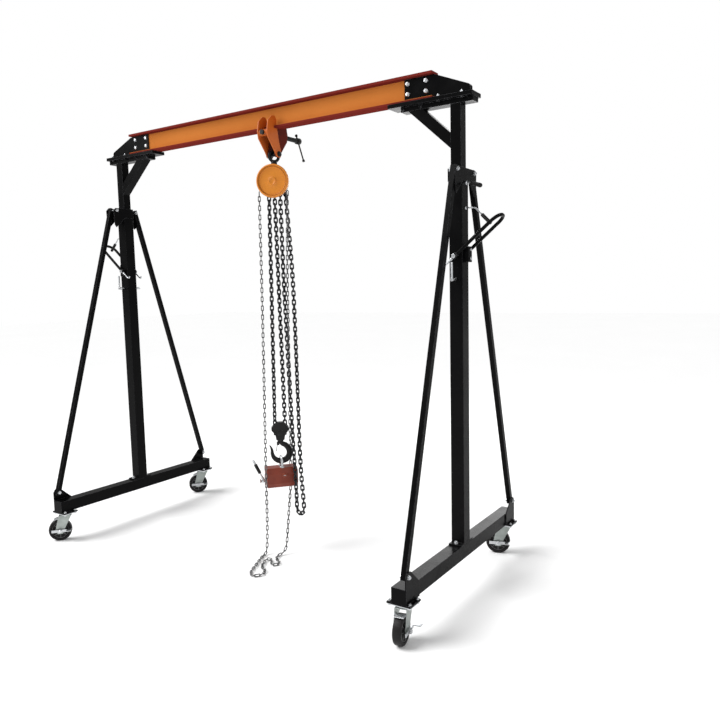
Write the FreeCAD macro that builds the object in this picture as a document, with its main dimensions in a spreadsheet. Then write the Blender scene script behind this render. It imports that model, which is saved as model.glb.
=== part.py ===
import FreeCAD, Part
import math
import os
import re
import Sketcher

# One tonne portable gantry crane, lowest setting. Millimetres, +Z up, +X along the beam.
# Origin: on the floor, under the middle of the overall box.

SIZES = {
    # legs
    "Span": 2294,               # between the two leg centre lines
    "BaseLength": 1184,
    "BaseTube": 65,
    "BaseWall": 4,
    "CasterRise": 47,           # wheel's top to the base beam's underside
    "PostTube": 65,
    "PostGap": 0.4,             # inner post to outer post, each side
    "PostTop": 1962,
    "FootLength": 130,
    "FootPlate": 8,
    "BraceTube": 25,
    "BraceWall": 2.5,
    "BraceFootReach": 572,      # bolt of a brace's foot, from the post's centre line
    "BraceFootRise": 47,        # the same bolt, above the base beam
    "BraceHeadReach": 90,
    "BraceHeadDrop": 14,        # bolt of a brace's head, below the post's top
    "EarPlate": 6,
    "HeadPlate": 5,
    "HeadDrop": 117,            # height of the head bracket
    # casters
    "MountPlateThick": 8,
    "MountPlateLong": 112,
    "MountPlateWide": 90,
    "MountBoltX": 47,
    "MountBoltY": 32,
    "CasterPlate": 4,
    "WheelDiameter": 127,
    "WheelWidth": 38,
    "WheelTrail": 32,
    "AxleDiameter": 12,
    "ForkGap": 5,               # wheel to fork leg
    "ForkSteel": 4,
    "RaceHeight": 9,
    "PedalGap": 5,              # fork leg to brake pedal
    "SwivelGap": 0.3,
    "TyreChamfer": 5,
    "LeftFrontTrail": -130,     # which way each caster trails, in degrees from +X
    "LeftRearTrail": -132,
    "RightFrontTrail": -80,
    "RightRearTrail": 200,
    # inner posts, jack and lock pin
    "InnerTube": 51,
    "InnerWall": 4,
    "InnerRise": 16,
    "Travel": 1200,
    "HolePitch": 100,
    "HoleDiameter": 17,
    "PinDrop": 492,             # lock pin below the outer post's top
    "PinDiameter": 14,
    "JackDrop": 387,            # jack's pivot below the outer post's top
    "JackReach": 205,           # pivot to the loop's end, outwards
    "JackRise": 170,            # pivot to the loop's end, upwards
    "JackArm": 16,
    "JackClear": 5,
    "JackPin": 12,
    "JackTail": 78,
    "RunningGap": 0.06,
    "BoltGap": 0.3,
    # beam and its ends
    "BeamSetback": 112,         # leg's centre line to the beam's end
    "BeamBottom": 2280,
    "BeamDepth": 120,
    "FlangeWidth": 64,
    "FlangeThick": 12,
    "WebThick": 8,
    "SidePlate": 8,
    "SidePlateLength": 328,
    "SidePlateOver": 65,        # side plate past the leg's centre line
    "SidePlateSlope": 172,
    "SaddleLength": 424,
    "SaddleOver": 89,           # saddle past the leg's centre line
    "SaddleWidth": 94,
    "SaddleThick": 18,
    "CrossheadShort": 60,       # crosshead short of the saddle's inner end
    "CrossheadWidth": 56,
    "CrossheadHeight": 22,
    "KneeTube": 50,
    "KneeWall": 4,
    "KneeRun": 173.5,           # knee brace's centre line, from the inner post
    "KneeDrop": 156,            # and its fall to the post
    # clamp and hoist
    "HoistX": 82,
    "HoistHeight": 2010,
    "HoistTurn": 24,
    "JawSteel": 6,
    "JawSpread": 32,
    "JawNest": 24,
    "ClampPinDrop": 130,
    "ClampPinDiameter": 20,
    "SpindleDiameter": 24,
    "SpindleDrop": 27,
    "SpindleReach": 222,
    "JawReach": 82,
    "TommyDiameter": 8,
    "TommyLength": 150,
    "RingRadius": 26,
    "RingBar": 8,
    "RingTurn": -30,
    "CoverRadius": 87,
    "CoverDepth": 34,
    "FrameDepth": 40,
    "CheekSteel": 5,
    "GearRadius": 64,
    "GearDepth": 34,
    "SheaveRadius": 20,
    # hook block, hook and magnet
    "BlockX": 66,
    "BlockY": -7,
    "BlockTurn": 40,
    "BlockTop": 718,
    "BlockDepth": 40,
    "BlockNeck": 98,            # hook's seat below the block's top
    "FallSpread": 28,
    "HookHeight": 550,
    "HookRadius": 44,
    "HookBar": 12,
    "LatchX": -17,
    "LatchZ": 48,               # latch pivot above the middle of the hook's bowl
    "LatchPin": 5,
    "MagnetX": 62,
    "MagnetY": -5,
    "MagnetTurn": 50,
    "MagnetLength": 168,
    "MagnetWidth": 100,
    "MagnetHeight": 108,
    "MagnetBottom": 360,
    "ShackleBar": 7,
    "ShackleRadius": 24,
    "LeverHeight": 35,          # lever's shaft above the magnet's poles
    "LeverShaft": 14,
    # chains
    "LoadChainWidth": 25,
    "HandChainWidth": 16,
}



def front_reach():
    """How far the foremost wheel's tyre stands in front of the legs' centre line."""
    swivel = SIZES["BaseLength"] / 2.0 - SIZES["MountPlateWide"] / 2.0
    reaches = []
    for trail in ("LeftFrontTrail", "RightFrontTrail"):
        turn = math.radians(SIZES[trail])
        roll = (SIZES["WheelTrail"] + SIZES["WheelDiameter"] / 2.0) * -math.sin(turn)
        tread = SIZES["WheelWidth"] / 2.0 - SIZES["TyreChamfer"]
        reaches.append(swivel + roll + tread * abs(math.cos(turn)))
    return max(reaches)


# The front casters trail to the front, so the middle of the box lies in front of the legs' own.


SIZES["OriginY"] = (front_reach() - SIZES["BaseLength"] / 2.0) / 2.0

DOC = FreeCAD.newDocument("GantryCrane")
SHEET = DOC.addObject("Spreadsheet::Sheet", "Sizes")
for row, (alias, value) in enumerate(SIZES.items(), start=1):
    SHEET.set("A%d" % row, alias)
    SHEET.set("B%d" % row, repr(value))
    SHEET.setAlias("B%d" % row, alias)
DOC.recompute()

# Places that follow from the sizes above.
DERIVED = {
    "BaseBottom": "WheelDiameter + CasterRise",
    "InnerFoot": "BaseBottom + BaseTube + InnerRise",
    "JackHeight": "PostTop - JackDrop",
    "PinHeight": "PostTop - PinDrop",
    "PostWall": "PostTube / 2 - InnerTube / 2 - PostGap",
    "BeamLength": "Span - 2 * BeamSetback",
    "SidePlateEnd": "Span / 2 + SidePlateOver",
    "SidePlateStart": "SidePlateEnd - SidePlateLength",
    "SidePlateShoulder": "SidePlateEnd - SidePlateSlope",
    "SaddleEnd": "Span / 2 + SaddleOver",
    "SaddleStart": "SaddleEnd - SaddleLength",
    "CrossheadStart": "SaddleStart + CrossheadShort",
    "KneeReach": "Span / 2 - InnerTube / 2 - KneeRun",
}

NODES = {}
SEATS = {}
AXES = {"X": (1, 0, 0), "Y": (0, 1, 0), "Z": (0, 0, 1)}


def spelled(text):
    """An expression with its derived places written out."""
    parts = re.split(r"\b([A-Z][A-Za-z]+)\b", str(text))
    return "".join("(%s)" % spelled(DERIVED[part]) if part in DERIVED else part for part in parts)


def cells(text):
    """An expression whose capitalised words are cells of the sheet."""
    return re.sub(r"\b([A-Z][A-Za-z]+)\b", r"Sizes.\1", spelled(text))


def value(text):
    """The same expression's number."""
    parts = re.split(r"\b([A-Z][A-Za-z]+)\b", spelled(text))
    return FreeCAD.Units.Quantity("".join("(%r)" % SIZES[part] if part in SIZES else part for part in parts)).Value


def seat(thing, at, axis=None, angle="0"):
    """Place a thing at three expressions, turned about an axis by a fourth."""
    if axis:
        thing.Placement = FreeCAD.Placement(FreeCAD.Vector(), FreeCAD.Rotation(FreeCAD.Vector(*AXES[axis]), 1.0))
        turn = angle if "atan" in angle else "(%s) * 1 deg" % angle
        thing.setExpression("Placement.Rotation.Angle", cells(turn))
    for letter, text in zip("xyz", at):
        thing.setExpression("Placement.Base." + letter, cells(text))
    SEATS[thing.Name] = at
    return thing


def block(name, size, centre):
    """A box from its three sizes, its centre in plan and its underside."""
    thing = DOC.addObject("Part::Box", name)
    for prop, text in zip(("Length", "Width", "Height"), size):
        thing.setExpression(prop, cells(text))
    x, y, z = centre
    return seat(thing, ("%s - (%s) / 2" % (x, size[0]), "%s - (%s) / 2" % (y, size[1]), z))


def rod(name, diameter, length, start, along="Z"):
    """A round bar from its starting end."""
    thing = DOC.addObject("Part::Cylinder", name)
    thing.setExpression("Radius", cells("(%s) / 2" % diameter))
    thing.setExpression("Height", cells(length))
    turns = {"Z": None, "X": ("Y", "90"), "Y": ("X", "-90")}
    if turns[along]:
        return seat(thing, start, *turns[along])
    return seat(thing, start)


def sketched(body, name, plane, outline):
    """A closed outline of corners, each a pair of expressions."""
    sketch = body.newObject("Sketcher::SketchObject", name + "_outline")
    role = [f for f in body.Origin.OriginFeatures if f.Role == plane + "_Plane"][0]
    sketch.AttachmentSupport = [(role, "")]
    sketch.MapMode = "FlatFace"
    corners = [(value(a), value(b)) for a, b in outline]
    count = len(corners)
    for i, (a, b) in enumerate(corners):
        c, d = corners[(i + 1) % count]
        sketch.addGeometry(Part.LineSegment(FreeCAD.Vector(a, b, 0), FreeCAD.Vector(c, d, 0)))
    for i in range(count):
        sketch.addConstraint(Sketcher.Constraint("Coincident", i, 2, (i + 1) % count, 1))
    for i, pair in enumerate(outline):
        for kind, text, number in zip(("DistanceX", "DistanceY"), pair, corners[i]):
            index = sketch.addConstraint(Sketcher.Constraint(kind, -1, 1, i, 1, number))
            sketch.renameConstraint(index, "%s_%d" % (kind, i))
            sketch.setExpression("Constraints.%s_%d" % (kind, i), cells(text))
    return sketch


def plate(name, outline, thick, plane="XZ", at=("0", "0", "0")):
    """A flat plate padded both ways from the plane of its outline."""
    body = DOC.addObject("PartDesign::Body", name)
    pad = body.newObject("PartDesign::Pad", name + "_pad")
    pad.Profile = sketched(body, name, plane, outline)
    pad.setExpression("Length", cells(thick))
    pad.Midplane = True
    body.Tip = pad
    return seat(body, at)


def turned(name, profile, at=("0", "0", "0")):
    """A round piece about its own Y axis, from (radius, y) corners."""
    body = DOC.addObject("PartDesign::Body", name)
    spin = body.newObject("PartDesign::Revolution", name + "_turn")
    spin.Profile = sketched(body, name, "XY", profile)
    spin.ReferenceAxis = (spin.Profile[0], ["V_Axis"])
    spin.Angle = 360.0
    body.Tip = spin
    return seat(body, at)


def fuse(name, pieces):
    thing = DOC.addObject("Part::MultiFuse", name)
    thing.Shapes = pieces
    return seat(thing, ("0", "0", "0"))


def cut(name, base, tool):
    thing = DOC.addObject("Part::Cut", name)
    thing.Base = base
    thing.Tool = tool
    return seat(thing, ("0", "0", "0"))


def group(name, pieces):
    thing = DOC.addObject("Part::Compound", name)
    thing.Links = pieces
    return seat(thing, ("0", "0", "0"))


def node(label, thing):
    """Hand a finished piece over under its own label, moved with the origin."""
    x, y, z = SEATS[thing.Name]
    thing.setExpression("Placement.Base.y", cells("%s + OriginY" % y))
    thing.Label = label
    NODES[label] = thing
    return thing


def square_tube(name, width, wall, length, centre):
    """An upright square tube from its underside."""
    x, y, z = centre
    outer = block(name + "_outer", (width, width, length), centre)
    hollow = "(%s) - 2 * (%s)" % (width, wall)
    inner = block(name + "_bore", (hollow, hollow, "(%s) + 2" % length), (x, y, "%s - 1" % z))
    return cut(name, outer, inner)


def shifted(start, along, step):
    """A start point moved along its own axis."""
    place = {"X": 0, "Y": 1, "Z": 2}[along]
    moved = list(start)
    moved[place] = "%s + (%s)" % (start[place], step)
    return tuple(moved)


def bolt(spec):
    """A bolt with a plain head at its start and a nut at its end."""
    name, diameter, length, start, along = spec
    thick = "0.7 * (%s)" % diameter
    shank = rod(name + "_shank", diameter, length, start, along)
    top = rod(name + "_head", "2 * (%s)" % diameter, thick, shifted(start, along, "-1 * " + thick), along)
    nut = rod(name + "_nut", "2 * (%s)" % diameter, thick, shifted(start, along, length), along)
    return fuse(name, [top, shank, nut])


def drilled(name, thing, specs):
    """The thing with a clearance hole for each bolt."""
    holes = []
    for i, (title, diameter, length, start, along) in enumerate(specs):
        wide = "(%s) + BoltGap" % diameter
        holes.append(rod("%s_hole_%d" % (name, i), wide, "(%s) + 2" % length, shifted(start, along, "-1"), along))
    return cut(name, thing, fuse(name + "_holes", holes) if len(holes) > 1 else holes[0])


def route(name, points):
    """Straight runs with a tangent arc at every corner."""
    spots = [FreeCAD.Vector(*point) for point in points]
    edges = []
    radii = []
    start = spots[0]
    for before, corner, after in zip(spots, spots[1:], spots[2:]):
        back = before - corner
        ahead = after - corner
        reach = 0.45 * min(back.Length, ahead.Length)
        turn = math.pi - back.getAngle(ahead)
        radii.append(reach / math.tan(turn / 2.0))
        back.normalize()
        ahead.normalize()
        enter = corner + back * reach
        leave = corner + ahead * reach
        inward = (back + ahead).normalize()
        middle = corner + inward * (radii[-1] / math.cos(turn / 2.0) - radii[-1])
        edges.append(Part.LineSegment(start, enter).toShape())
        edges.append(Part.Arc(enter, middle, leave).toShape())
        start = leave
    edges.append(Part.LineSegment(start, spots[-1]).toShape())
    if radii:
        print("%s: tightest arc %.1f mm, length %.0f mm" % (name, min(radii), sum(e.Length for e in edges)))
    spine = DOC.addObject("Part::Feature", name + "_route")
    spine.Shape = Part.Wire(edges)
    return spine


def tube(name, width, points):
    """A round tube along a route."""
    spine = route(name, points)
    first = FreeCAD.Vector(*points[0])
    lead = FreeCAD.Vector(*points[1]) - first
    ring = DOC.addObject("Part::Circle", name + "_ring")
    ring.setExpression("Radius", cells("(%s) / 2" % width))
    ring.Placement = FreeCAD.Placement(first, FreeCAD.Rotation(FreeCAD.Vector(0, 0, 1), lead))
    sweep = DOC.addObject("Part::Sweep", name)
    sweep.Sections = [ring]
    sweep.Spine = (spine, [])
    sweep.Solid = True
    sweep.Frenet = False
    return seat(sweep, ("0", "0", "0"))


# ---------------------------------------------------------------- legs

BASE_TOP = "BaseBottom + BaseTube"
CASTER_TOP = "BaseBottom - MountPlateThick"
SWIVEL_Y = "(BaseLength / 2 - MountPlateWide / 2)"
BRACE_FOOT_Z = BASE_TOP + " + BraceFootRise"
BRACE_HEAD_Z = "PostTop - BraceHeadDrop"


def leg_bolts(n, side, centre, face):
    """Bolts of one leg by what they hold."""
    mount = []
    foot = []
    head = []
    post = []
    for word, way in (("front", -1), ("rear", 1)):
        inner = face + " - BraceTube" if side > 0 else face + " - EarPlate"
        foot.append((n + word + "_foot_bolt", "10", "BraceTube + EarPlate",
                     (inner, "%d * BraceFootReach" % way, BRACE_FOOT_Z), "X"))
        head.append((n + word + "_head_bolt", "10", "PostTube + 2 * HeadPlate",
                     (centre + " - PostTube / 2 - HeadPlate", "%d * BraceHeadReach" % way, BRACE_HEAD_Z), "X"))
        post.append((n + word + "_post_bolt", "12", "FootPlate + BaseTube",
                     (centre, "%d * (FootLength / 2 - 16)" % way, "BaseBottom"), "Z"))
        for a in (-1, 1):
            for b in (-1, 1):
                spot = ("%s + %d * MountBoltX" % (centre, a), "%d * %s + %d * MountBoltY" % (way, SWIVEL_Y, b),
                        CASTER_TOP + " - CasterPlate")
                mount.append(("%s%s_mount_bolt_%d%d" % (n, word, a + 1, b + 1), "8",
                              "CasterPlate + MountPlateThick", spot, "Z"))
    return mount, foot, head, post


def jack_housing(n, side, centre):
    """Pivot pins on the post's two sides, the pad on its outer face and the release handle."""
    out = "%s + %d * PostTube / 2" % (centre, side)
    pins = []
    for word, way in (("rear", 1), ("front", -1)):
        reach = "(JackClear + JackArm + 6)"
        start = "PostTube / 2" if way > 0 else "-PostTube / 2 - " + reach
        cap = "PostTube / 2 + %s - 4" % reach if way > 0 else "-PostTube / 2 - " + reach
        pins.append(fuse(n + "pivot_" + word, [
            rod(n + "pivot_pin_" + word, "JackPin", reach, (centre, start, "JackHeight"), "Y"),
            rod(n + "pivot_cap_" + word, "JackPin + 8", "4", (centre, cap, "JackHeight"), "Y")]))
    pad = block(n + "jack_pad", ("24", "36", "70"), ("%s + %d * 12" % (out, side), "0", "JackHeight - 28"))
    stem = rod(n + "handle_stem", "7", "46", (out if side > 0 else out + " - 46", "0", "JackHeight + 212"), "X")
    wire = rod(n + "handle_wire", "7", "70", ("0", "0", "0"))
    seat(wire, ("%s + %d * 44" % (out, side), "0", "JackHeight + 214"), "Y", "%d" % (side * 135))
    grip = rod(n + "handle_grip", "17", "62", ("0", "0", "0"))
    seat(grip, ("%s + %d * 79" % (out, side), "0", "JackHeight + 179"), "Y", "%d" % (side * 135))
    parts = pins + [pad, fuse(n + "handle", [stem, wire, grip])]
    if side > 0:
        bar = rod(n + "crank_stem", "9", "76", (out, "0", "PostTop - 66"), "X")
        knob = rod(n + "crank_knob", "22", "34", (out + " + 72", "0", "PostTop - 84"))
        parts.append(fuse(n + "crank", [bar, knob]))
    return group(n + "jack_parts", parts)


def jack_lever(n, side, centre):
    """The U-shaped lever that straddles the post: two arms and a bar across their ends."""
    run = "sqrt(JackReach * JackReach + JackRise * JackRise)"
    gap = "(PostTube / 2 + JackClear + JackArm / 2)"
    parts = []
    for word, way in (("front", -1), ("rear", 1)):
        middle = "%d * %s" % (way, gap)
        parts.append(block(n + "arm_" + word, ("JackArm", "JackArm", run + " + JackTail"), ("0", middle, "-JackTail")))
        parts.append(rod(n + "hub_" + word, "JackPin + 18", "JackArm", ("0", middle + " - JackArm / 2", "0"), "Y"))
    parts.append(rod(n + "lever_bar", "JackArm + 4", "2 * %s + JackArm" % gap, ("0", "-%s - JackArm / 2" % gap, run), "Y"))
    bore = rod(n + "lever_bore", "JackPin + 2 * RunningGap", "2 * %s + 40" % gap, ("0", "-%s - 20" % gap, "0"), "Y")
    lever = cut(n + "lever", fuse(n + "lever_steel", parts), bore)
    lean = "%s atan(JackReach / JackRise)" % ("1 *" if side > 0 else "-1 *")
    return seat(lever, (centre, "0", "JackHeight"), "Y", lean)


def leg(label, side):
    """One leg: base beam, post, head bracket, braces, jack and hardware."""
    centre = "%d * Span / 2" % side
    face = "%d * (Span / 2 + BaseTube / 2)" % side
    n = label + "_"
    mount, foot, head, post = leg_bolts(n, side, centre, face)

    beam = block(n + "beam", ("BaseTube", "BaseLength", "BaseTube"), (centre, "0", "BaseBottom"))
    inside = "BaseTube - 2 * BaseWall"
    bore = block(n + "beam_bore", (inside, "BaseLength - 2 * BaseWall", inside), (centre, "0", "BaseBottom + BaseWall"))
    parts = [cut(n + "beam_tube", beam, bore)]
    for word, way in (("front", -1), ("rear", 1)):
        parts.append(block(n + word + "_mount", ("MountPlateLong", "MountPlateWide", "MountPlateThick"),
                           (centre, "%d * %s" % (way, SWIVEL_Y), CASTER_TOP)))
        ear = [("0", "0"), ("0", "BaseTube + BraceFootRise"), ("12", "BaseTube + BraceFootRise + 18"),
               ("42", "BaseTube + BraceFootRise + 18"), ("MountPlateWide + 22", "BaseTube"), ("MountPlateWide + 22", "0")]
        corners = [("%d * (BaseLength / 2 - (%s))" % (way, back), up) for back, up in ear]
        parts.append(plate(n + word + "_ear", corners, "EarPlate", "YZ",
                           ("%s + %d * EarPlate / 2" % (face, side), "0", "BaseBottom")))
    node(n + "base_beam", drilled(n + "base", fuse(n + "base_steel", parts), mount + foot + post))

    plate_foot = block(n + "foot", ("PostTube", "FootLength", "FootPlate"), (centre, "0", BASE_TOP))
    rise = "PostTop - (%s) - FootPlate" % BASE_TOP
    shaft = square_tube(n + "post", "PostTube", "PostWall", rise, (centre, "0", BASE_TOP + " + FootPlate"))
    pin_spec = (n + "pin_line", "PinDiameter", "PostTube + 10", (centre, "-PostTube / 2 - 5", "PinHeight"), "Y")
    outer = fuse(n + "outer_steel", [plate_foot, shaft])
    node(n + "outer_post", drilled(n + "outer", outer, post + [pin_spec]))

    half = [("BraceHeadReach + 22", "-BraceHeadDrop"), ("BraceHeadReach + 8", "0")]
    low = [("PostTube / 2", "-HeadDrop + 60"), ("BraceHeadReach + 6", "-HeadDrop"), ("BraceHeadReach + 18", "-HeadDrop + 15")]
    outline = half + [("-(%s)" % a, b) for a, b in reversed(half)]
    outline += [("-(%s)" % a, b) for a, b in reversed(low)] + low
    plates = []
    for word, way in (("outside", 1), ("inside", -1)):
        x = "%s + %d * (PostTube / 2 + HeadPlate / 2)" % (centre, side * way)
        steel = plate(n + "head_" + word, outline, "HeadPlate", "YZ", (x, "0", "PostTop"))
        plates.append(drilled(n + "head_drilled_" + word, steel, head))
    node(n + "head_bracket", group(n + "head", plates))

    brace_x = "%s - %d * BraceTube / 2" % (face, side)
    run = "(BraceFootReach - BraceHeadReach)"
    climb = "(%s - (%s))" % (BRACE_HEAD_Z, BRACE_FOOT_Z)
    length = "sqrt(%s * %s + %s * %s)" % (run, run, climb, climb)
    for i, (word, way) in enumerate((("front", -1), ("rear", 1))):
        steel = square_tube(n + word + "_tube", "BraceTube", "BraceWall", length + " + 30", ("0", "0", "-15"))
        seat(steel, (brace_x, "%d * BraceFootReach" % way, BRACE_FOOT_Z), "X", "%d * atan(%s / %s)" % (way, run, climb))
        node(n + word + "_brace", drilled(n + word + "_tube_drilled", steel, [foot[i], head[i]]))

    node(n + "jack_housing", jack_housing(n, side, centre))
    node(n + "jack_lever", jack_lever(n, side, centre))

    wall = "(InnerTube / 2 + PostGap + 1)"
    near = rod(n + "pin_front", "PinDiameter", "80 - %s" % wall, (centre, "-80", "PinHeight"), "Y")
    handle = rod(n + "pin_handle", "PinDiameter - 4", "78", (centre, "-74", "PinHeight"))
    far = rod(n + "pin_rear", "PinDiameter", "80 - %s" % wall, (centre, wall, "PinHeight"), "Y")
    node(n + "lock_pin", group(n + "pin", [fuse(n + "pin_near", [near, handle]), far]))

    hardware = [bolt(spec) for spec in foot + head + post]
    for i, (word, way) in enumerate((("front", -1), ("rear", 1))):
        zinc = block(n + word + "_zinc", ("MountPlateLong - 2", "MountPlateWide - 4", "CasterPlate"),
                     (centre, "%d * %s" % (way, SWIVEL_Y), CASTER_TOP + " - CasterPlate"))
        hardware.append(fuse(n + word + "_zinc_bolted", [zinc] + [bolt(spec) for spec in mount[4 * i:4 * i + 4]]))
    node(n + "leg_hardware", group(n + "hardware", hardware))


leg("left", -1)
leg("right", 1)

# ---------------------------------------------------------------- casters


def caster(label, side, way, trail):
    """Swivel fork, wheel and brake pedal, made along their own +X and then turned to their trail."""
    n = label + "_"
    centre = ("%d * Span / 2" % side, "%d * %s" % (way, SWIVEL_Y), "0")
    axle = "WheelDiameter / 2"
    top = "(%s - CasterPlate - SwivelGap)" % CASTER_TOP
    crown = top + " - RaceHeight - ForkSteel"
    gap = "(WheelWidth / 2 + ForkGap)"
    race = rod(n + "race", "62", "RaceHeight", ("0", "0", top + " - RaceHeight"))
    roof = block(n + "roof", ("70", "2 * %s + 2 * ForkSteel" % gap, "ForkSteel"), ("0", "0", crown))
    outline = [("-35", crown + " + ForkSteel"), ("35", crown + " + ForkSteel"), ("WheelTrail + 24", axle + " + 8"),
               ("WheelTrail + 14", axle + " - 20"), ("WheelTrail - 14", axle + " - 20"), ("WheelTrail - 26", axle + " + 8")]
    sides = [plate(n + "side_" + word, outline, "ForkSteel", "XZ", ("0", "%d * (%s + ForkSteel / 2)" % (w, gap), "0"))
             for word, w in (("left", 1), ("right", -1))]
    outer = "%s + ForkSteel + PedalGap + ForkSteel" % gap
    pin = rod(n + "axle", "AxleDiameter", "%s + 1 + %s + ForkSteel + 4" % (outer, gap),
              ("WheelTrail", "-%s - ForkSteel - 4" % gap, axle), "Y")
    cap = rod(n + "axle_cap", "AxleDiameter + 8", "6", ("WheelTrail", outer + " + 1", axle), "Y")
    head = rod(n + "axle_head", "AxleDiameter + 8", "6", ("WheelTrail", "-%s - ForkSteel - 6" % gap, axle), "Y")
    fork = fuse(n + "fork_parts", [race, roof, pin, cap, head] + sides)
    node(n + "fork", seat(fork, centre, "Z", trail))

    bore = "AxleDiameter / 2 + RunningGap"
    half = "WheelWidth / 2"
    profile = [(bore, "-" + half), ("22", "-" + half), ("22", "-%s + 5" % half), (axle + " - 16", "-%s + 5" % half),
               (axle + " - 14", "-" + half), (axle + " - 4", "-" + half), (axle, "-%s + TyreChamfer" % half),
               (axle, half + " - TyreChamfer"), (axle + " - 4", half), (axle + " - 14", half),
               (axle + " - 16", half + " - 5"), ("22", half + " - 5"), ("22", half), (bore, half)]
    wheel = turned(n + "wheel_turned", profile, ("WheelTrail", "0", axle))
    node(n + "wheel", seat(group(n + "wheel_group", [wheel]), centre, "Z", trail))

    strap_y = "(%s - ForkSteel / 2)" % outer
    strap = block(n + "strap", ("92", "ForkSteel", "16"), ("WheelTrail", strap_y, axle + " - 8"))
    tread = block(n + "tread", ("26", "38", "4"), ("WheelTrail - 50", strap_y + " + 17", axle + " + 4"))
    eye = rod(n + "eye", "AxleDiameter + 2 * RunningGap", "40", ("WheelTrail", gap, axle), "Y")
    pedal = cut(n + "pedal_parts", fuse(n + "pedal_steel", [strap, tread]), eye)
    node(n + "pedal", seat(pedal, centre, "Z", trail))


caster("left_front", -1, -1, "LeftFrontTrail")
caster("left_rear", -1, 1, "LeftRearTrail")
caster("right_front", 1, -1, "RightFrontTrail")
caster("right_rear", 1, 1, "RightRearTrail")

# ---------------------------------------------------------------- bridge

SADDLE_BOTTOM = "(BeamBottom - SaddleThick)"
CROSSHEAD_BOTTOM = "(BeamBottom - SaddleThick - CrossheadHeight)"


def end_bolts(side):
    """Bolts through the web, down through the saddle and across the crosshead."""
    web = []
    saddle = []
    cross = []
    for i, x in enumerate(("SidePlateStart + 18", "SidePlateStart + 112")):
        for j, z in enumerate(("FlangeThick + 28", "BeamDepth - FlangeThick - 22")):
            web.append(("web_bolt_%d%d%d" % (side + 1, i, j), "12", "WebThick + 2 * SidePlate",
                        ("%d * (%s)" % (side, x), "-WebThick / 2 - SidePlate", "BeamBottom + " + z), "Y"))
    for i, x in enumerate(("Span / 2 - 78", "Span / 2 + 36")):
        for j, way in enumerate((-1, 1)):
            saddle.append(("saddle_bolt_%d%d%d" % (side + 1, i, j), "9", "SaddleThick",
                           ("%d * (%s)" % (side, x), "%d * (SaddleWidth / 2 - 9)" % way, SADDLE_BOTTOM), "Z"))
    for i, x in enumerate(("CrossheadStart + 12", "CrossheadStart + 102", "SaddleEnd - 20")):
        cross.append(("cross_bolt_%d%d" % (side + 1, i), "8", "CrossheadWidth",
                      ("%d * (%s)" % (side, x), "-CrossheadWidth / 2", CROSSHEAD_BOTTOM + " + CrossheadHeight / 2"), "Y"))
    return web, saddle, cross


LEFT_BOLTS = end_bolts(-1)
RIGHT_BOLTS = end_bolts(1)

half_section = [("FlangeWidth / 2", "0"), ("FlangeWidth / 2", "FlangeThick"), ("WebThick / 2", "FlangeThick"),
                ("WebThick / 2", "BeamDepth - FlangeThick"), ("FlangeWidth / 2", "BeamDepth - FlangeThick"),
                ("FlangeWidth / 2", "BeamDepth")]
section = half_section + [("-(%s)" % a, b) for a, b in reversed(half_section)]
rolled = plate("beam_section", section, "BeamLength", "YZ", ("0", "0", "BeamBottom"))
node("i_beam", drilled("beam_drilled", rolled, LEFT_BOLTS[0] + RIGHT_BOLTS[0]))


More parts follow.
